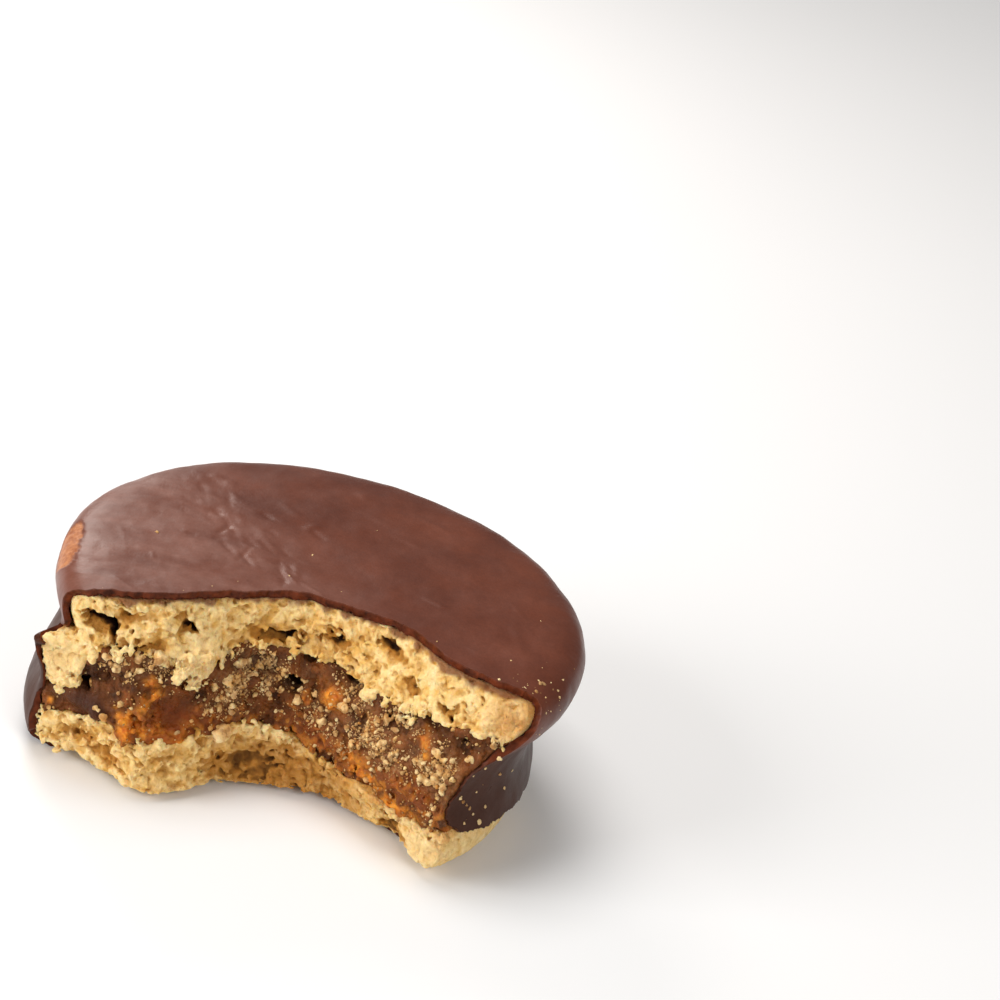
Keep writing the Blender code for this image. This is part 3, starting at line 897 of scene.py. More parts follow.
def filling():
    block = Block((-34.5, 31.5), (5.0, 20.5))
    bend = 0.5 * noise(block.px, block.py[:, : block.fine], block.pz, 1.6, 67)
    relief = block.broad([(0.60, 5.0, 1.0, 61), (0.80, 2.4, 1.0, 62)])
    relief[:, : block.fine] += mounds(block.px + bend, block.pz - bend, FILLING_MOUNDS)
    near = np.abs(block.depth + relief) < 1.2
    near[:, block.fine :] = False
    relief += block.detail(near, caramel_detail)
    top = block.pz - filling_top(block.px, block.depth) - 0.15 - 0.3 * relief
    base = along(FILLING_BASE, block.px) - block.pz - 0.15 - 0.3 * relief
    shell = np.maximum(np.maximum(block.side(), top), base)
    block.field = np.maximum(shell, -0.8 * (block.depth + relief)).astype(np.float32)
    points, faces, back = thin_out(*main_body(*block.surface()))
    x, y, z = points.T
    shift = 0.45 * noise(x, y, z, 1.1, 91)
    # Orange of torn caramel, partly a painted glow of light through thin edges, with more orange low on the face.
    fresh_and_glow = mounds(x + shift, z - shift, FRESH_AND_GLOW) * (0.85 + 0.7 * noise(x, y, z, 0.9, 92))
    calm = np.clip(mounds(x, z, SMOOTH), 0, 1)
    powder = (0.06 + 0.6 * mounds(x, z, DUSTY)) * (0.55 + 0.9 * noise(x, y, z, 1.8, 93)) * (1 - 0.95 * calm)
    pool = mounds(x + shift, z - shift, POOL) * (0.9 + 0.3 * noise(x, y, z, 1.5, 94))
    smeared = np.clip(mounds(x, z, SMOOTH[:1]), 0, 1)
    rusty = 0.42 * smooth_step((12.5 - z + 2.0 * noise(x, y, z, 2.0, 96)) / 4.0) * (1 - calm)
    fresh_and_glow = fresh_and_glow + rusty * smooth_step((noise(x, y, z, 1.1, 97) + 0.05) / 0.3) * smooth_step((x + 25.0) / 3.0)
    # Painted shade: the first channel colours the caramel nearly black the further it lies behind the bite's wall.
    masks = (smooth_step(1 - (back - 0.3) / 2.2), fresh_and_glow, smeared)
    cover = (powder, pool, 0 * pool)
    caramel = add_mesh("filling_caramel", points, faces, "filling", "caramel", marks=masks, cover=cover)
    caramel.data.materials.append(caramel_material())
    return points, faces, back


# ---------------------------------------------------------------------------------------------
# Loose crumbs
# ---------------------------------------------------------------------------------------------

# Where crumbs lie thickly on the filling: place across, height, half-width, half-height, share
DUSTY = [
    (-6.5, 15.0, 3.5, 2.4, 1.0),
    (-9.0, 12.0, 2.0, 2.5, 0.6),
    (7.0, 15.0, 3.5, 1.8, 0.5),
    (10.0, 12.2, 3.5, 1.8, 1.0),
    (17.0, 13.6, 2.5, 2.2, 1.0),
    (12.5, 16.6, 2.0, 1.2, 0.5),
    (19.5, 10.5, 2.5, 3.0, 0.35),
    (-21.5, 15.8, 3.0, 1.5, 0.4),
    (-17.5, 16.5, 2.5, 1.2, 0.5),
    (3.0, 11.5, 4.5, 1.8, 0.3),
]

# Noticeable crumbs: place across, height, radius, share of caramel on them
CLUMPS = [
    (-22.8, 18.3, 0.75, 0.0), (-22.6, 16.9, 0.60, 0.0), (-24.1, 16.6, 0.65, 0.0), (-20.3, 17.3, 0.70, 0.0),
    (-19.9, 15.9, 0.60, 0.0), (-22.0, 15.8, 0.35, 0.0), (-21.4, 11.1, 0.40, 0.0), (-23.9, 9.7, 0.30, 0.0),
    (-19.9, 11.3, 0.30, 0.0), (-22.9, 9.0, 0.42, 1.0), (-21.8, 12.3, 0.16, 0.0), (-22.5, 13.4, 0.16, 0.0),
    (-24.3, 13.3, 0.18, 0.0), (-17.9, 17.2, 0.9, 0.0), (-9.4, 6.7, 1.2, 0.1), (-10.6, 6.9, 0.7, 0.2),
    (-8.3, 10.6, 0.40, 0.0), (-5.9, 15.4, 0.45, 0.0), (-8.4, 15.8, 0.55, 0.0), (-9.4, 14.6, 0.6, 0.0),
    (-0.4, 14.6, 0.5, 0.1), (-0.5, 12.6, 0.55, 0.1), (-2.8, 13.0, 0.35, 0.0), (4.9, 14.2, 0.8, 0.2),
    (4.6, 12.4, 0.25, 0.0), (10.0, 17.0, 0.85, 0.0), (8.1, 15.9, 0.40, 0.2), (11.2, 15.3, 0.35, 0.0),
    (11.6, 14.4, 0.42, 0.0), (10.3, 14.3, 0.35, 0.0), (11.7, 15.9, 0.6, 0.0), (12.7, 17.6, 0.6, 0.0),
    (4.3, 10.9, 0.40, 0.1), (7.6, 11.4, 0.45, 0.0), (9.3, 11.2, 0.55, 0.0), (15.5, 12.4, 0.5, 0.0),
    (16.8, 15.6, 0.6, 0.0), (17.7, 14.4, 0.8, 0.1), (17.2, 13.0, 0.7, 0.0), (21.0, 16.0, 0.5, 0.0),
    (22.9, 18.4, 0.55, 0.0), (20.9, 13.8, 0.55, 0.0), (21.6, 11.6, 0.5, 0.0), (20.6, 9.6, 0.4, 0.1),
]


def vertex_normals(points, faces):
    face = np.cross(points[faces[:, 1]] - points[faces[:, 0]], points[faces[:, 2]] - points[faces[:, 0]])
    total = np.zeros_like(points)
    for k in range(3):
        np.add.at(total, faces[:, k], face)
    return total / np.maximum(np.linalg.norm(total, axis=1, keepdims=True), 1e-9)


def blob(subdivisions):
    """A round starting shape for a crumb: its points and triangles."""
    form = bmesh.new()
    bmesh.ops.create_icosphere(form, subdivisions=subdivisions, radius=1.0)
    points = np.array([corner.co[:] for corner in form.verts])
    faces = np.array([[corner.index for corner in face.verts] for face in form.faces])
    form.free()
    return points, faces


def crumbs_at(places, normals, sizes, subdivisions, rng, sink):
    """Many jagged little crumbs as one set of points and triangles, with each point's owner."""
    shape, triangles = blob(subdivisions)
    count = len(places)
    turns, _ = np.linalg.qr(rng.normal(size=(count, 3, 3)))
    turns *= np.linalg.det(turns)[:, None, None]
    lengths = rng.uniform(0.55, 1.25, (count, 1, 3))
    rough = 1 + rng.uniform(-0.34, 0.34, (count, len(shape), 1))
    form = np.einsum("nij,nkj->nki", turns, shape[None] * lengths * rough) * sizes[:, None, None]
    centre = places + normals * (sizes * (0.7 - sink))[:, None]
    points = (form + centre[:, None]).reshape(-1, 3)
    faces = (triangles[None] + (np.arange(count) * len(shape))[:, None, None]).reshape(-1, 3)
    return points, faces, np.repeat(np.arange(count), len(shape))


def place_weights(points, back):
    """How likely a loose crumb is to stick at each point of the filling's face."""
    x, y, z = points.T
    front = (back < 2.6) & (outside_distance(x, y, z) < -COATING - 0.4)
    calm = np.clip(mounds(x, z, SMOOTH), 0, 1)
    clump = 0.45 + 1.1 * noise(x, y, z, 1.5, 95)
    weight = front * (0.05 + 1.1 * mounds(x, z, DUSTY)) * np.clip(clump, 0.02, 1) * (1 - 0.95 * calm)
    return weight / weight.sum()


def loose_crumbs(points, faces, back):
    """Crumbs stuck all over the sticky filling, thicker in some places."""
    rng = np.random.default_rng(77)
    normals = vertex_normals(points, faces)
    weight = place_weights(points, back)
    grown_crumbs(points, normals, weight, rng)
    for name, count, low, high, power, subdivisions, sink in (
        ("crumbs_on_filling", 700, 0.11, 0.34, 2.0, 2, 0.4),
        ("crumb_dust", 4000, 0.045, 0.15, 1.3, 1, 0.2),
    ):
        chosen = rng.choice(len(points), count, p=weight)
        sizes = low + (high - low) * rng.random(count) ** power
        made, triangles, owner = crumbs_at(points[chosen], normals[chosen], sizes, subdivisions, rng, sink)
        bright = rng.uniform(0.25, 0.85, count)
        orange = (rng.random(count) < 0.12) * rng.uniform(0.4, 0.9, count)
        sticky = (rng.random(count) < 0.25) * rng.uniform(0.2, 0.6, count)
        masks = (bright[owner], orange[owner], sticky[owner])
        piece = add_mesh(name, made, triangles, "filling", "upper_crumb", marks=masks)
        piece.data.materials.append(crumb_material(name, CRUMB_PALE, CRUMB_TAN, CRUMB_DEEP, 0.0))


def grown_crumbs(points, normals, weight, rng):
    """The larger crumbs, each grown from a few overlapping balls with granules on them."""
    block = Block((-31.5, 27.5), (5.0, 20.5), 0.13, 0)
    block.field += 1.0
    smooth = np.zeros_like(block.field)
    seeds = []
    for x, z, radius, orange in CLUMPS:
        near = np.abs(points[:, 0] - x) + np.abs(points[:, 2] - z) + np.where(weight > 0, 0, 9)
        seeds.append((int(near.argmin()), radius, orange))
    for number in rng.choice(len(points), 190, p=weight):
        seeds.append((int(number), 0.22 + 0.30 * rng.random() ** 2, 0.5 * (rng.random() < 0.15)))
    for number, radius, orange in seeds:
        for _ in range(4):
            away = rng.normal(size=3)
            away *= 0.6 * radius / np.linalg.norm(away)
            centre = points[number] + 0.35 * radius * normals[number] + away
            block.ball(centre, radius * rng.uniform(0.5, 0.8), smooth)
    near = block.field < 0.7
    block.field -= block.detail(near, lambda x, y, z: 0.45 * crumb_detail(x, y, z, 131))
    made, faces, _ = block.surface()
    x, y, z = made.T
    orange = 0.0 * x
    for number, radius, share in seeds:
        if share > 0:
            gap = np.linalg.norm(made - points[number], axis=1)
            orange = np.maximum(orange, share * smooth_step((2.2 * radius - gap) / radius))
    bright = 0.60 + 0.50 * noise(x, y, z, 0.8, 133)
    piece = add_mesh(
        "crumb_clumps", made, np.concatenate([faces[:, [0, 1, 2]], faces[:, [0, 2, 3]]]),
        "filling", "upper_crumb", marks=(bright, orange, 0.25 * (bright < 0.5)),
    )
    piece.data.materials.append(crumb_material("crumb_clumps", CRUMB_PALE, CRUMB_TAN, CRUMB_DEEP, 0.3))


CRUMB_PALE = (0.93, 0.71, 0.38, 1)
CRUMB_TAN = (0.82, 0.50, 0.19, 1)
CRUMB_DEEP = (0.44, 0.20, 0.055, 1)


# ---------------------------------------------------------------------------------------------
# Chocolate coating
# ---------------------------------------------------------------------------------------------

COLUMNS = 340
TOP_ROWS, SIDE_ROWS, FOOT_ROWS = 124, 76, 10
EDGE_STEPS = 5
RIM_RADIUS = 29.4
FOOT_RADIUS = 28.2
CHIP_LINE = [
    (-28.0, 11.5), (-24.0, 9.8), (-22.0, 7.8), (-20.0, 6.4),
    (-14.0, 5.8), (-6.0, 5.0), (4.0, 2.6), (12.0, -0.5),
]  # Y, and the height below which the coating is chipped off
CHIP_LEFT = 15.0
FOOT_SETBACK = 3.0


def surface_point(angle, level, radius):
    """A point of the cookie's outside from its angle, its level and its profile's radius."""
    sx, sy = centre_shift(level)
    reach = radius * (1 + stretch(angle, level))
    x = sx + reach * np.cos(angle)
    y = sy + reach * np.sin(angle)
    return np.stack(np.broadcast_arrays(x, y, level + TOP_LEAN * x * level / HEIGHT), -1)


def outward(points):
    """The directions away from the cookie's outside."""
    x, y, z = points[..., 0], points[..., 1], points[..., 2]
    h = 0.3
    slope = np.stack(
        [
            outside_distance(x + h, y, z) - outside_distance(x - h, y, z),
            outside_distance(x, y + h, z) - outside_distance(x, y - h, z),
            outside_distance(x, y, z + h) - outside_distance(x, y, z - h),
        ],
        -1,
    )
    return slope / np.maximum(np.linalg.norm(slope, axis=-1, keepdims=True), 1e-6)


def side_profile():
    """Level, radius and length along the profile, from the top's rim down to the foot."""
    first = np.argmax(PROFILE_R > RIM_RADIUS)
    middle = len(PROFILE_R) // 2
    last = middle + np.argmax((PROFILE_Z[middle:] < 0.4) & (PROFILE_R[middle:] < FOOT_RADIUS))
    z, r = PROFILE_Z[first : last + 1], PROFILE_R[first : last + 1]
    length = np.concatenate([[0], np.cumsum(np.hypot(np.diff(z), np.diff(r)))])
    return z, r, length


SIDE_Z, SIDE_R, SIDE_LENGTH = side_profile()


def torn_angles(start, stop):
    """For each step down the side, the angle where the bite cuts it, going from start to stop."""
    angles = np.radians(np.linspace(start, stop, 520))
    points = surface_point(angles[None], SIDE_Z[:, None], SIDE_R[:, None])
    behind = points[..., 1] - wall_y(points[..., 0], points[..., 2])
    first = np.argmax(behind < 0, axis=1)
    rows = np.arange(len(SIDE_Z))
    a, b = behind[rows, first - 1], behind[rows, first]
    t = a / (a - b)
    return angles[first - 1] + t * (angles[first] - angles[first - 1])


def jagged(along_edge, seed, amount=1.0):
    """The unevenness of a snapped chocolate edge, in millimetres."""
    zero = np.zeros_like(along_edge)
    big = noise(along_edge, zero, zero, 2.6, seed)
    small = noise(along_edge, zero + 3.3, zero, 0.9, seed + 1)
    fine = noise(along_edge, zero + 7.1, zero, 0.4, seed + 2)
    return amount * (0.30 * big + 0.16 * small + 0.08 * fine)


def coat_grid():
    """The coating's outside as a grid: columns round the cookie, rows over the top and down."""
    t = np.linspace(0, 1, COLUMNS + 1)
    u = t - 0.55 * np.sin(2 * np.pi * t) / (2 * np.pi)
    gap = 0.09 * np.exp(-(((SIDE_Z - 17.5) / 0.6) ** 2))
    flap = 0.034 * smooth_step((SIDE_Z - 8.0) / 2.0) * smooth_step((16.9 - SIDE_Z) / 0.6)
    flake = 0.030 * np.exp(-(((SIDE_Z - 16.1) / 0.45) ** 2))
    bare_foot = 0.080 * smooth_step((3.4 - SIDE_Z) / 2.2)
    left = torn_angles(90, 235) + jagged(SIDE_LENGTH, 301, 1.6) / WIDEST - gap + flap + flake - bare_foot
    crumbly = 1 + 1.6 * smooth_step((18.0 - SIDE_Z) / 2.0)
    right = torn_angles(90, -65) - jagged(SIDE_LENGTH, 311, crumbly) / WIDEST

    def side(columns, length):
        """Points of the side at given lengths down the profile."""
        level = np.interp(length, SIDE_LENGTH, SIDE_Z)
        radius = np.interp(length, SIDE_LENGTH, SIDE_R)
        a = np.interp(length, SIDE_LENGTH, left)
        b = np.interp(length, SIDE_LENGTH, right)
        return surface_point(a + columns * (b - a), level, radius)

    full = SIDE_LENGTH[-1]
    trial = np.linspace(0, full, 260)
    path = side(u[:, None], trial[None])
    chip_height = along(CHIP_LINE, path[..., 1])
    chip_height += jagged(path[..., 1] * 1.3, 321, 1.6)
    chipped = (path[..., 0] > CHIP_LEFT) & (path[..., 2] < chip_height) & (trial[None] > 9)
    chipped &= path[..., 1] < CHIP_LINE[-1][0]
    ends = np.where(chipped.any(1), trial[np.argmax(chipped, 1)], full)
    whole = int(np.argmax(ends < full - 0.2))

    # Under the foot the coating ends on a line from the chip across to the bite and along it
    xs = np.linspace(CHIP_LEFT + 0.5, path[0, -1, 0] + 3, 90)
    bite = np.stack([xs, wall_y(xs, np.zeros_like(xs)) + FOOT_SETBACK], 1)
    start, last = path[whole, -1, :2], path[0, -1, :2]
    line = np.concatenate([[start], [[CHIP_LEFT + 1.5, start[1] - 2]], bite, [last]])
    run = np.concatenate([[0], np.cumsum(np.linalg.norm(np.diff(line, axis=0), axis=1))])
    share = np.clip(1 - u / u[whole], 0, 1) * run[-1]
    uneven = jagged(share, 331, 2.0) * np.minimum(1, np.minimum(share, run[-1] - share) / 3)
    foot_end = np.stack([np.interp(share, run, line[:, 0]), np.interp(share, run, line[:, 1]) + uneven], 1)
    foot_start = side(u, np.full_like(u, full))[:, :2]
    foot_run = np.where(np.arange(len(u)) < whole, np.linalg.norm(foot_end - foot_start, axis=1), 0)
    total = np.where(np.arange(len(u)) < whole, full + foot_run, ends)
    bend = np.minimum(full, total - 1.0)

    rows = [bend[:, None] * np.linspace(0, 1, SIDE_ROWS + 1)[None]]
    rows.append(bend[:, None] + (total - bend)[:, None] * np.linspace(0, 1, FOOT_ROWS + 1)[None, 1:])
    length = np.concatenate(rows, 1)
    lower = side(u[:, None], np.minimum(length, full))
    beyond = np.clip((length - full) / np.maximum(foot_run, 1e-6)[:, None], 0, 1)[..., None]
    lower[..., :2] += beyond * (foot_end - foot_start)[:, None]
    lower[..., 2] = np.where(length > full, 0.0, lower[..., 2])

    rim = lower[:, 0]
    x = rim[0, 0] + (rim[-1, 0] - rim[0, 0]) * t
    taper = np.minimum(1, np.minimum(t, 1 - t) * 30)
    front = wall_y(x, np.full_like(x, HEIGHT)) + jagged(x, 341) * taper
    front += (rim[0, 1] - front[0]) * np.exp(-t * 60) + (rim[-1, 1] - front[-1]) * np.exp(-(1 - t) * 60)
    back = np.linspace(0, 1, TOP_ROWS + 1)[:-1] ** 1.25
    top = np.empty((len(t), TOP_ROWS, 3))
    top[..., 0] = x[:, None] + (rim[:, 0] - x)[:, None] * back
    top[..., 1] = front[:, None] + (rim[:, 1] - front)[:, None] * back
    angle = np.arctan2(top[..., 1], top[..., 0])
    reach = np.hypot(top[..., 0], top[..., 1]) / (1 + stretch(angle, HEIGHT))
    crown = np.argmax(PROFILE_R > RIM_RADIUS) + 1
    level = np.interp(reach, PROFILE_R[:crown], PROFILE_Z[:crown])
    top[..., 2] = level + TOP_LEAN * top[..., 0] * level / HEIGHT
    return np.concatenate([top, lower], 1), total


def coat_relief(points, away):
    """How far the coating's face swells out or sinks in."""
    x, y, z = points[..., 0], points[..., 1], points[..., 2]
    relief = 0.13 * noise(x, y, z, 9.0, 401) + 0.07 * noise(x, y, z, 3.4, 402) + 0.03 * noise(x, y, z, 1.6, 404)
    on_top = smooth_step((away[..., 2] - 0.5) / 0.3)
    relief = relief + 0.8 * on_top * strokes(x, y)
    bare = bare_patch(points)
    return relief - 0.22 * bare + 0.10 * bare * noise(x, y, z, 0.8, 403)


def bloom_and_sheen(points):
    """How milky the chocolate looks: dark at the waist; left of the ripples it is painted greyish and lighter as a
    painted sheen of reflected light.
    """
    x, y, z = points[..., 0], points[..., 1], points[..., 2]
    milky = 0.55 * smooth_step((z - 15.5) / 4.0)
    # Painted sheen: left of a slanted line across the top, the colour is raised towards a greyish reflected-light
    # tone.
    left = -0.75 * (x + 11.0) - 0.66 * (y - 7.0) + 2.0 * noise(x, y, z, 6.0, 407)
    return milky + 0.45 * smooth_step((left + 8.5) / 10.0) * smooth_step((z - 19.0) / 3.0)


def bare_patch(points):
    """1 where the chocolate is rubbed thin on the left shoulder."""
    x, y, z = points[..., 0], points[..., 1], points[..., 2]
    uneven = 0.35 * noise(x, y, z, 1.6, 405)
    away = ((y + 0.6) / 5.3) ** 2 + ((np.hypot(x, y) - 31.5 + uneven) / 1.4) ** 2
    return smooth_step((1.1 - away) / 0.25) * smooth_step((z - 21.0) / 0.6) * (x < -20)


def all_strokes():
    """Scuffs on the top: X, Y, turn in radians, half-length, half-width and height of each."""
    rng = np.random.default_rng(5)
    marks = [
        (-17.5, 17.2, -1.0, 1.2, 0.45, -0.16),
        (-15.0, 11.8, -0.9, 1.1, 0.55, -0.18),
        (-13.6, 7.6, 1.2, 1.5, 0.40, -0.20),
        (-13.9, 5.2, 0.3, 0.8, 0.45, -0.14),
        (-17.3, 4.8, 0.0, 0.6, 0.50, -0.08),
        (-12.6, 3.2, -0.9, 1.5, 0.35, -0.15),
        (-10.0, 1.2, -1.0, 1.4, 0.35, -0.15),
        (-5.6, 0.1, -1.1, 2.0, 0.35, -0.16),
        (-4.4, -0.9, -0.9, 1.6, 0.30, 0.12),
        (-8.9, 13.0, -0.7, 0.9, 0.40, -0.14),
        (-7.8, 9.2, -0.6, 0.8, 0.35, -0.15),
        (-19.3, 10.8, -0.4, 0.8, 0.25, -0.10),
        (-22.7, 14.2, 0.0, 2.6, 0.35, -0.13),
        (-20.4, 15.6, -0.1, 2.2, 0.30, -0.14),
        (-25.0, 12.2, 0.2, 2.4, 0.30, -0.09),
        (-15.3, 20.3, -0.5, 1.8, 0.60, 0.12),
        (-13.1, 16.3, -0.9, 2.0, 0.60, 0.14),
        (-6.2, 15.9, -0.8, 1.8, 0.60, 0.14),
        (-3.1, 12.4, 0.9, 1.2, 0.70, 0.18),
        (-2.2, 10.9, -0.8, 1.4, 0.45, -0.15),
        (2.4, 23.5, -0.8, 1.0, 0.50, 0.12),
        (5.1, 17.8, -0.5, 1.8, 0.60, 0.10),
        (9.0, 14.0, -0.4, 1.8, 0.60, 0.12),
        (13.4, 0.2, -0.4, 1.6, 0.50, 0.14),
        (11.3, 20.2, -0.5, 2.4, 0.40, 0.08),
        (24.0, -4.0, -1.3, 4.0, 0.80, 0.10),
    ]
    for _ in range(70):
        t = rng.random()
        x, y = -18.5 + 15.5 * t + rng.normal() * 2.2, 18.0 - 19.0 * t + rng.normal() * 2.2
        turn = -0.9 + 0.35 * rng.normal()
        marks.append((x, y, turn, rng.uniform(0.6, 2.4), rng.uniform(0.22, 0.45), rng.uniform(-0.13, 0.09)))
    for _ in range(50):
        radius, angle = 28 * math.sqrt(rng.random()), rng.uniform(0, 2 * math.pi)
        turn = rng.uniform(0, math.pi)
        x, y = radius * math.cos(angle), radius * math.sin(angle)
        marks.append((x, y, turn, rng.uniform(0.6, 2.5), rng.uniform(0.3, 0.7), rng.uniform(-0.05, 0.05)))
    return marks


def strokes(x, y):
    total = 0.0
    for middle_x, middle_y, turn, half_length, half_width, height in all_strokes():
        dx, dy = x - middle_x, y - middle_y
        run = (dx * math.cos(turn) + dy * math.sin(turn)) / half_length
        across = (dy * math.cos(turn) - dx * math.sin(turn)) / half_width
        total = total + height * np.exp(-(run**4) - across**2)
    return total


def coating():
    grid, _ = coat_grid()
    away = outward(grid)
    outer = grid + away * coat_relief(grid, away)[..., None]
    columns, rows = grid.shape[0] - 1, grid.shape[1] - 1
    uneven = 1 + 0.30 * noise(grid[..., 0], grid[..., 1], grid[..., 2], 2.2, 353)
    uneven += 0.35 * noise(grid[..., 0], grid[..., 1], grid[..., 2], 0.8, 354)
    thickness = coating_depth(grid[..., 2]) * uneven
    thickness = np.where(grid[..., 2] < 1.0, BASE_COATING, thickness)[..., None]
    inner = grid - away * thickness

    def number(i, j):
        return i * (rows + 1) + j

    i, j = np.meshgrid(np.arange(columns), np.arange(rows), indexing="ij")
    quads = np.stack([number(i, j), number(i, j + 1), number(i + 1, j + 1), number(i + 1, j)], -1)
    quads = quads.reshape(-1, 4)

    ring = np.concatenate(
        [
            number(np.arange(columns), 0),
            number(columns, np.arange(rows)),
            number(np.arange(columns, 0, -1), rows),
            number(0, np.arange(rows, 0, -1)),
        ]
    )
    flat_outer, flat_inner = outer.reshape(-1, 3), inner.reshape(-1, 3)
    points = [flat_outer]
    faces = [quads]
    edge = [np.zeros(len(flat_outer))]
    start, end = flat_outer[ring], flat_inner[ring]
    inward = start - flat_outer[(ring_inside(ring, columns, rows))]
    inward /= np.maximum(np.linalg.norm(inward, axis=1, keepdims=True), 1e-6)
    previous = ring
    total = len(flat_outer)
    for step in range(1, EDGE_STEPS + 1):
        t = step / EDGE_STEPS
        place = start + (end - start) * t
        rough = 0.10 * noise(place[:, 0], place[:, 1], place[:, 2], 0.5, 351)
        rough += 0.14 * noise(place[:, 0], place[:, 1], place[:, 2], 1.2, 352)
        bulge = 0.06 * math.sin(math.pi * t) - 0.15 * t
        place = place + inward * (bulge + rough * math.sin(math.pi * t))[:, None]
        current = total + np.arange(len(ring))
        total += len(ring)
        faces.append(np.stack([previous, np.roll(previous, -1), np.roll(current, -1), current], 1))
        points.append(place)
        edge.append(np.full(len(ring), 1.0))
        previous = current
    half = [np.arange(0, columns + 1, 2), np.arange(0, rows + 1, 2)]
    lining = inner[half[0]][:, half[1]]
    a, b = lining.shape[0] - 1, lining.shape[1] - 1
    i, j = np.meshgrid(np.arange(a), np.arange(b), indexing="ij")

    def low(i, j):
        return total + i * (b + 1) + j

    inner_quads = np.stack([low(i, j), low(i + 1, j), low(i + 1, j + 1), low(i, j + 1)], -1)
    faces.append(inner_quads.reshape(-1, 4))
    coarse = np.concatenate(
        [low(np.arange(a), 0), low(a, np.arange(b)), low(np.arange(a, 0, -1), b), low(0, np.arange(b, 0, -1))]
    )
    points.append(lining.reshape(-1, 3))
    edge.append(np.full(lining[..., 0].size, 1.0))
    after = np.roll(coarse, -1)
    f0, f1, f2 = previous[0::2], previous[1::2], np.roll(previous[0::2], -1)
    stitch = np.concatenate([np.stack([f0, f1, coarse], 1), np.stack([f1, after, coarse], 1), np.stack([f1, f2, after], 1)])
    quads = np.concatenate(faces)
    triangles = np.concatenate([quads[:, [0, 1, 2]], quads[:, [0, 2, 3]], stitch])
    points = np.concatenate(points)
    mask = np.concatenate(edge)
    # The first channel paints the broken faces and the lining darker as shade, less so low on the right waist; the
    # rubbed shoulder takes the same darker colour.
    mask *= 1 - 0.7 * (points[:, 0] > 14) * smooth_step((17.5 - points[:, 2]) / 2.0)
    masks = (np.maximum(mask, broken_shoulder(points)), bare_patch(points), bloom_and_sheen(points))
    coat = add_mesh("chocolate_coat", points, triangles, "chocolate_coating", "chocolate", marks=masks)
    coat.data.materials.append(chocolate_material())
    sharpen(coat.data, ring)
    return points, triangles


def broken_shoulder(points):
    """1 where the coating is rubbed rough behind the torn left end of the bite."""
    x, y, z = points.T
    near = ((y + 5.0) / 5.0) ** 2 + ((z - 15.8) / 2.0) ** 2 + 0.5 * noise(x, y, z, 1.5, 409)
    return 0.8 * smooth_step((1.2 - near) / 0.4) * (x < -26)


def sharpen(mesh, ring):
    """Makes the closed line of points a crisp edge."""
    pairs = np.empty(len(mesh.edges) * 2, np.int32)
    mesh.edges.foreach_get("vertices", pairs)
    pairs = np.sort(pairs.reshape(-1, 2), axis=1).astype(np.int64)
    wanted = np.sort(np.stack([ring, np.roll(ring, -1)], 1), axis=1)
    crisp = np.isin(pairs[:, 0] * 10**7 + pairs[:, 1], wanted[:, 0] * 10**7 + wanted[:, 1])
    layer = mesh.attributes.new("sharp_edge", "BOOLEAN", "EDGE")
    layer.data.foreach_set("value", crisp)


def ring_inside(ring, columns, rows):
    """For each point of the grid's rim, the number of the grid point next to it inside."""
    i, j = ring // (rows + 1), ring % (rows + 1)
    return np.clip(i, 2, columns - 2) * (rows + 1) + np.clip(j, 2, rows - 2)


# Crumbs lying on the coating: X, Y, Z, radius, and how red with chocolate
COAT_CRUMBS = [
    (-21.6, 3.6, 25.1, 0.26, 0.0), (-2.2, 5.8, 24.9, 0.20, 0.0), (26.5, 1.4, 24.4, 0.18, 0.0),
    (22.2, -14.5, 24.4, 0.20, 0.0), (29.9, -9.5, 23.2, 0.22, 0.0), (29.4, -11.8, 23.0, 0.16, 0.0),
    (29.8, -12.3, 22.4, 0.28, 0.0), (27.1, -12.7, 23.9, 0.42, 0.9), (26.7, -14.3, 23.8, 0.35, 0.9),
    (27.6, -12.2, 23.9, 0.35, 0.9), (24.0, -20.0, 17.2, 0.30, 0.0), (22.5, -19.8, 15.5, 0.24, 0.0),
    (26.2, -11.8, 10.6, 0.24, 0.0), (25.7, -13.4, 9.3, 0.22, 0.0), (22.3, -18.6, 11.1, 0.18, 0.0),
    (23.9, -17.1, 8.5, 0.34, 0.0), (22.5, -19.2, 8.3, 0.26, 0.0), (23.5, -18.4, 7.0, 0.36, 0.0),
    (21.7, -20.4, 7.7, 0.30, 0.0), (20.5, -20.7, 11.3, 0.32, 0.0), (20.9, -20.3, 10.5, 0.26, 0.9),
    (21.4, -19.9, 9.9, 0.26, 0.9), (21.9, -19.5, 9.3, 0.24, 0.9), (25.2, -15.4, 12.0, 0.30, 0.9),
]


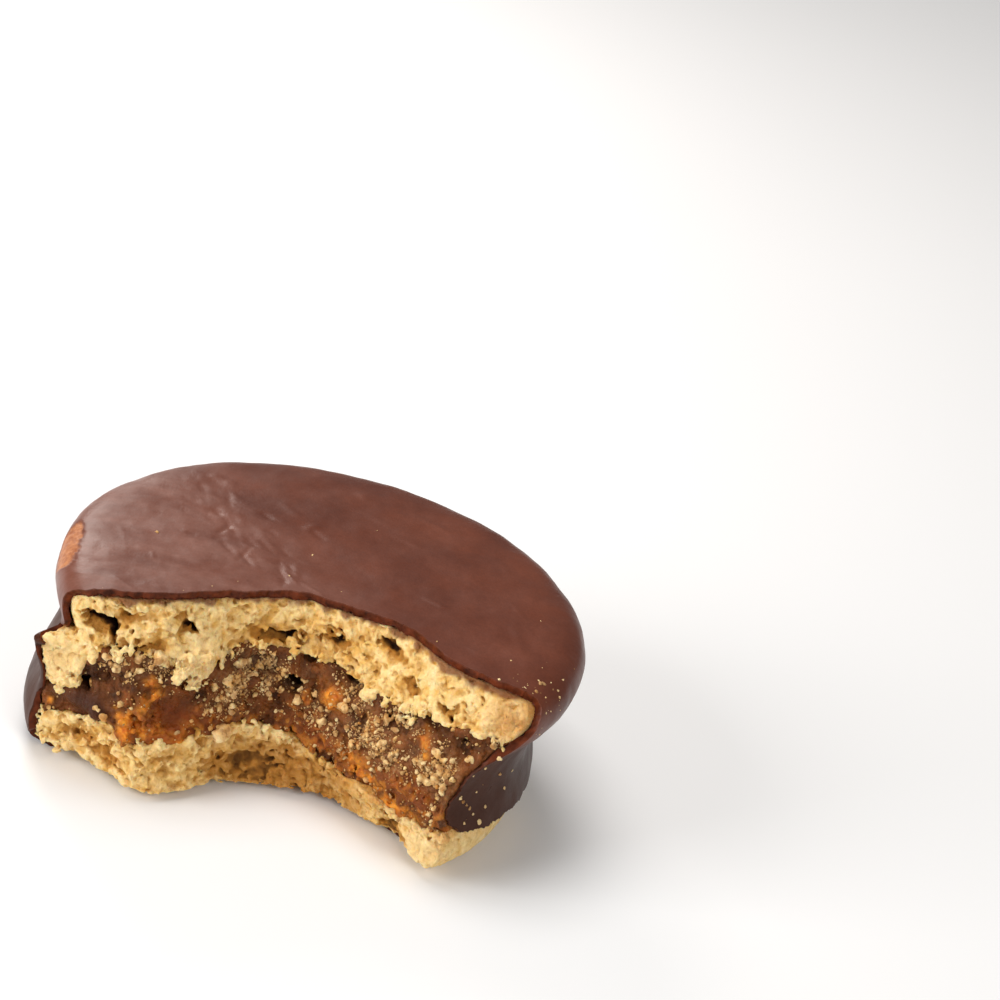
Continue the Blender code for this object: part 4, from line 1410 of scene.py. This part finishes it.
def crumbs_on_coat(points, faces):
    """A few crumbs and much fine dust where the bite left them on the coating."""
    rng = np.random.default_rng(79)
    normals = vertex_normals(points, faces)
    x, y, z = points.T
    outer = outside_distance(x, y, z) > -0.25
    outer &= y > wall_y(x, z) + 0.25
    named = [
        int((np.linalg.norm(points - place[:3], axis=1) + np.where(outer, 0, 99)).argmin())
        for place in COAT_CRUMBS
    ]
    corner = np.exp(-((x - 28.5) ** 2 + (y + 13) ** 2 + (z - 21.5) ** 2) / 18)
    waist = 0.5 * np.exp(-(((x - 23) / 3) ** 2 + ((y + 17.5) / 4) ** 2 + ((z - 9) / 4) ** 2))
    rim = 0.02 * np.exp(-((wall_y(x, z) - y + 1.5) / 3) ** 2) * (z > 24)
    weight = outer * (corner + waist + rim + 0.0004)
    chosen = np.concatenate([named, rng.choice(len(points), 45, p=weight / weight.sum())])
    sizes = np.concatenate([[place[3] for place in COAT_CRUMBS], 0.05 + 0.12 * rng.random(45) ** 2])
    red = np.concatenate([[place[4] for place in COAT_CRUMBS], 0.9 * (rng.random(45) < 0.2)])
    made, triangles, owner = crumbs_at(points[chosen], normals[chosen], sizes, 2, rng, 0.3)
    masks = (rng.uniform(0.7, 1.0, len(chosen))[owner], 0.5 * red[owner], 0.5 * red[owner])
    piece = add_mesh("crumbs_on_coat", made, triangles, "upper_biscuit", "upper_crumb", marks=masks)
    piece.data.materials.append(crumb_material("crumbs_on_coat", CRUMB_PALE, CRUMB_TAN, CRUMB_DEEP, 0.0))


upper_biscuit()
lower_biscuit()
loose_crumbs(*filling())
crumbs_on_coat(*coating())

# ---------------------------------------------------------------------------------------------
# Stage
# ---------------------------------------------------------------------------------------------

AIM = Vector((0.0, 0.0, 0.012))
ELEVATION = math.radians(31)
ROLL = math.radians(11)
DISTANCE = 0.45
LENS = 131.5
AIM_RIGHT = 0.0235
AIM_UP = 0.0211


def add_camera():
    back = Vector((0.0, -math.cos(ELEVATION), math.sin(ELEVATION)))
    level = Vector((1.0, 0.0, 0.0))
    upright = back.cross(level)
    right = level * math.cos(ROLL) + upright * math.sin(ROLL)
    up = upright * math.cos(ROLL) - level * math.sin(ROLL)
    place = AIM + back * DISTANCE
    look = (place - (AIM + right * AIM_RIGHT + up * AIM_UP)).normalized()
    side = up.cross(look).normalized()
    camera = bpy.data.objects.new("camera", bpy.data.cameras.new("camera"))
    camera.data.lens = LENS
    camera.data.sensor_width = 36.0
    camera.data.clip_start = 0.01
    turn = Matrix((side, look.cross(side), look)).transposed().to_4x4()
    camera.matrix_world = Matrix.Translation(place) @ turn
    bpy.context.scene.collection.objects.link(camera)
    bpy.context.scene.camera = camera


def add_area(name, place, size, power, colour=(1, 1, 1)):
    light = bpy.data.lights.new(name, "AREA")
    light.size = size
    light.energy = power
    light.color = colour
    thing = bpy.data.objects.new(name, light)
    thing.location = place
    thing.rotation_euler = (AIM - Vector(place)).to_track_quat("-Z", "Y").to_euler()
    thing.visible_camera = False
    bpy.context.scene.collection.objects.link(thing)


add_camera()
add_area("key", (0.26, -0.44, 0.36), 0.26, 1.25, (1.0, 0.98, 0.95))
add_area("left", (-0.50, -0.22, 0.26), 0.36, 2.6, (1.0, 0.99, 0.98))
add_area("overhead", (-0.10, 0.12, 0.50), 0.30, 1.4, (1.0, 0.98, 0.96))
add_area("sheen", (-0.13, 0.27, 0.16), 0.12, 0.36, (1.0, 0.92, 0.86))
world = bpy.data.worlds.new("studio")
world.use_nodes = True
world.node_tree.nodes["Background"].inputs["Color"].default_value = (1, 1, 1, 1)
world.node_tree.nodes["Background"].inputs["Strength"].default_value = 0.20
bpy.context.scene.world = world
bpy.context.scene.view_settings.view_transform = "Standard"

floor_mesh = bpy.data.meshes.new("floor")
floor_mesh.from_pydata([(-1, -1, 0), (1, -1, 0), (1, 1, 0), (-1, 1, 0)], [], [(0, 1, 2, 3)])
floor = bpy.data.objects.new("floor", floor_mesh)
bpy.context.scene.collection.objects.link(floor)
floor_mesh.materials.append(floor_material())
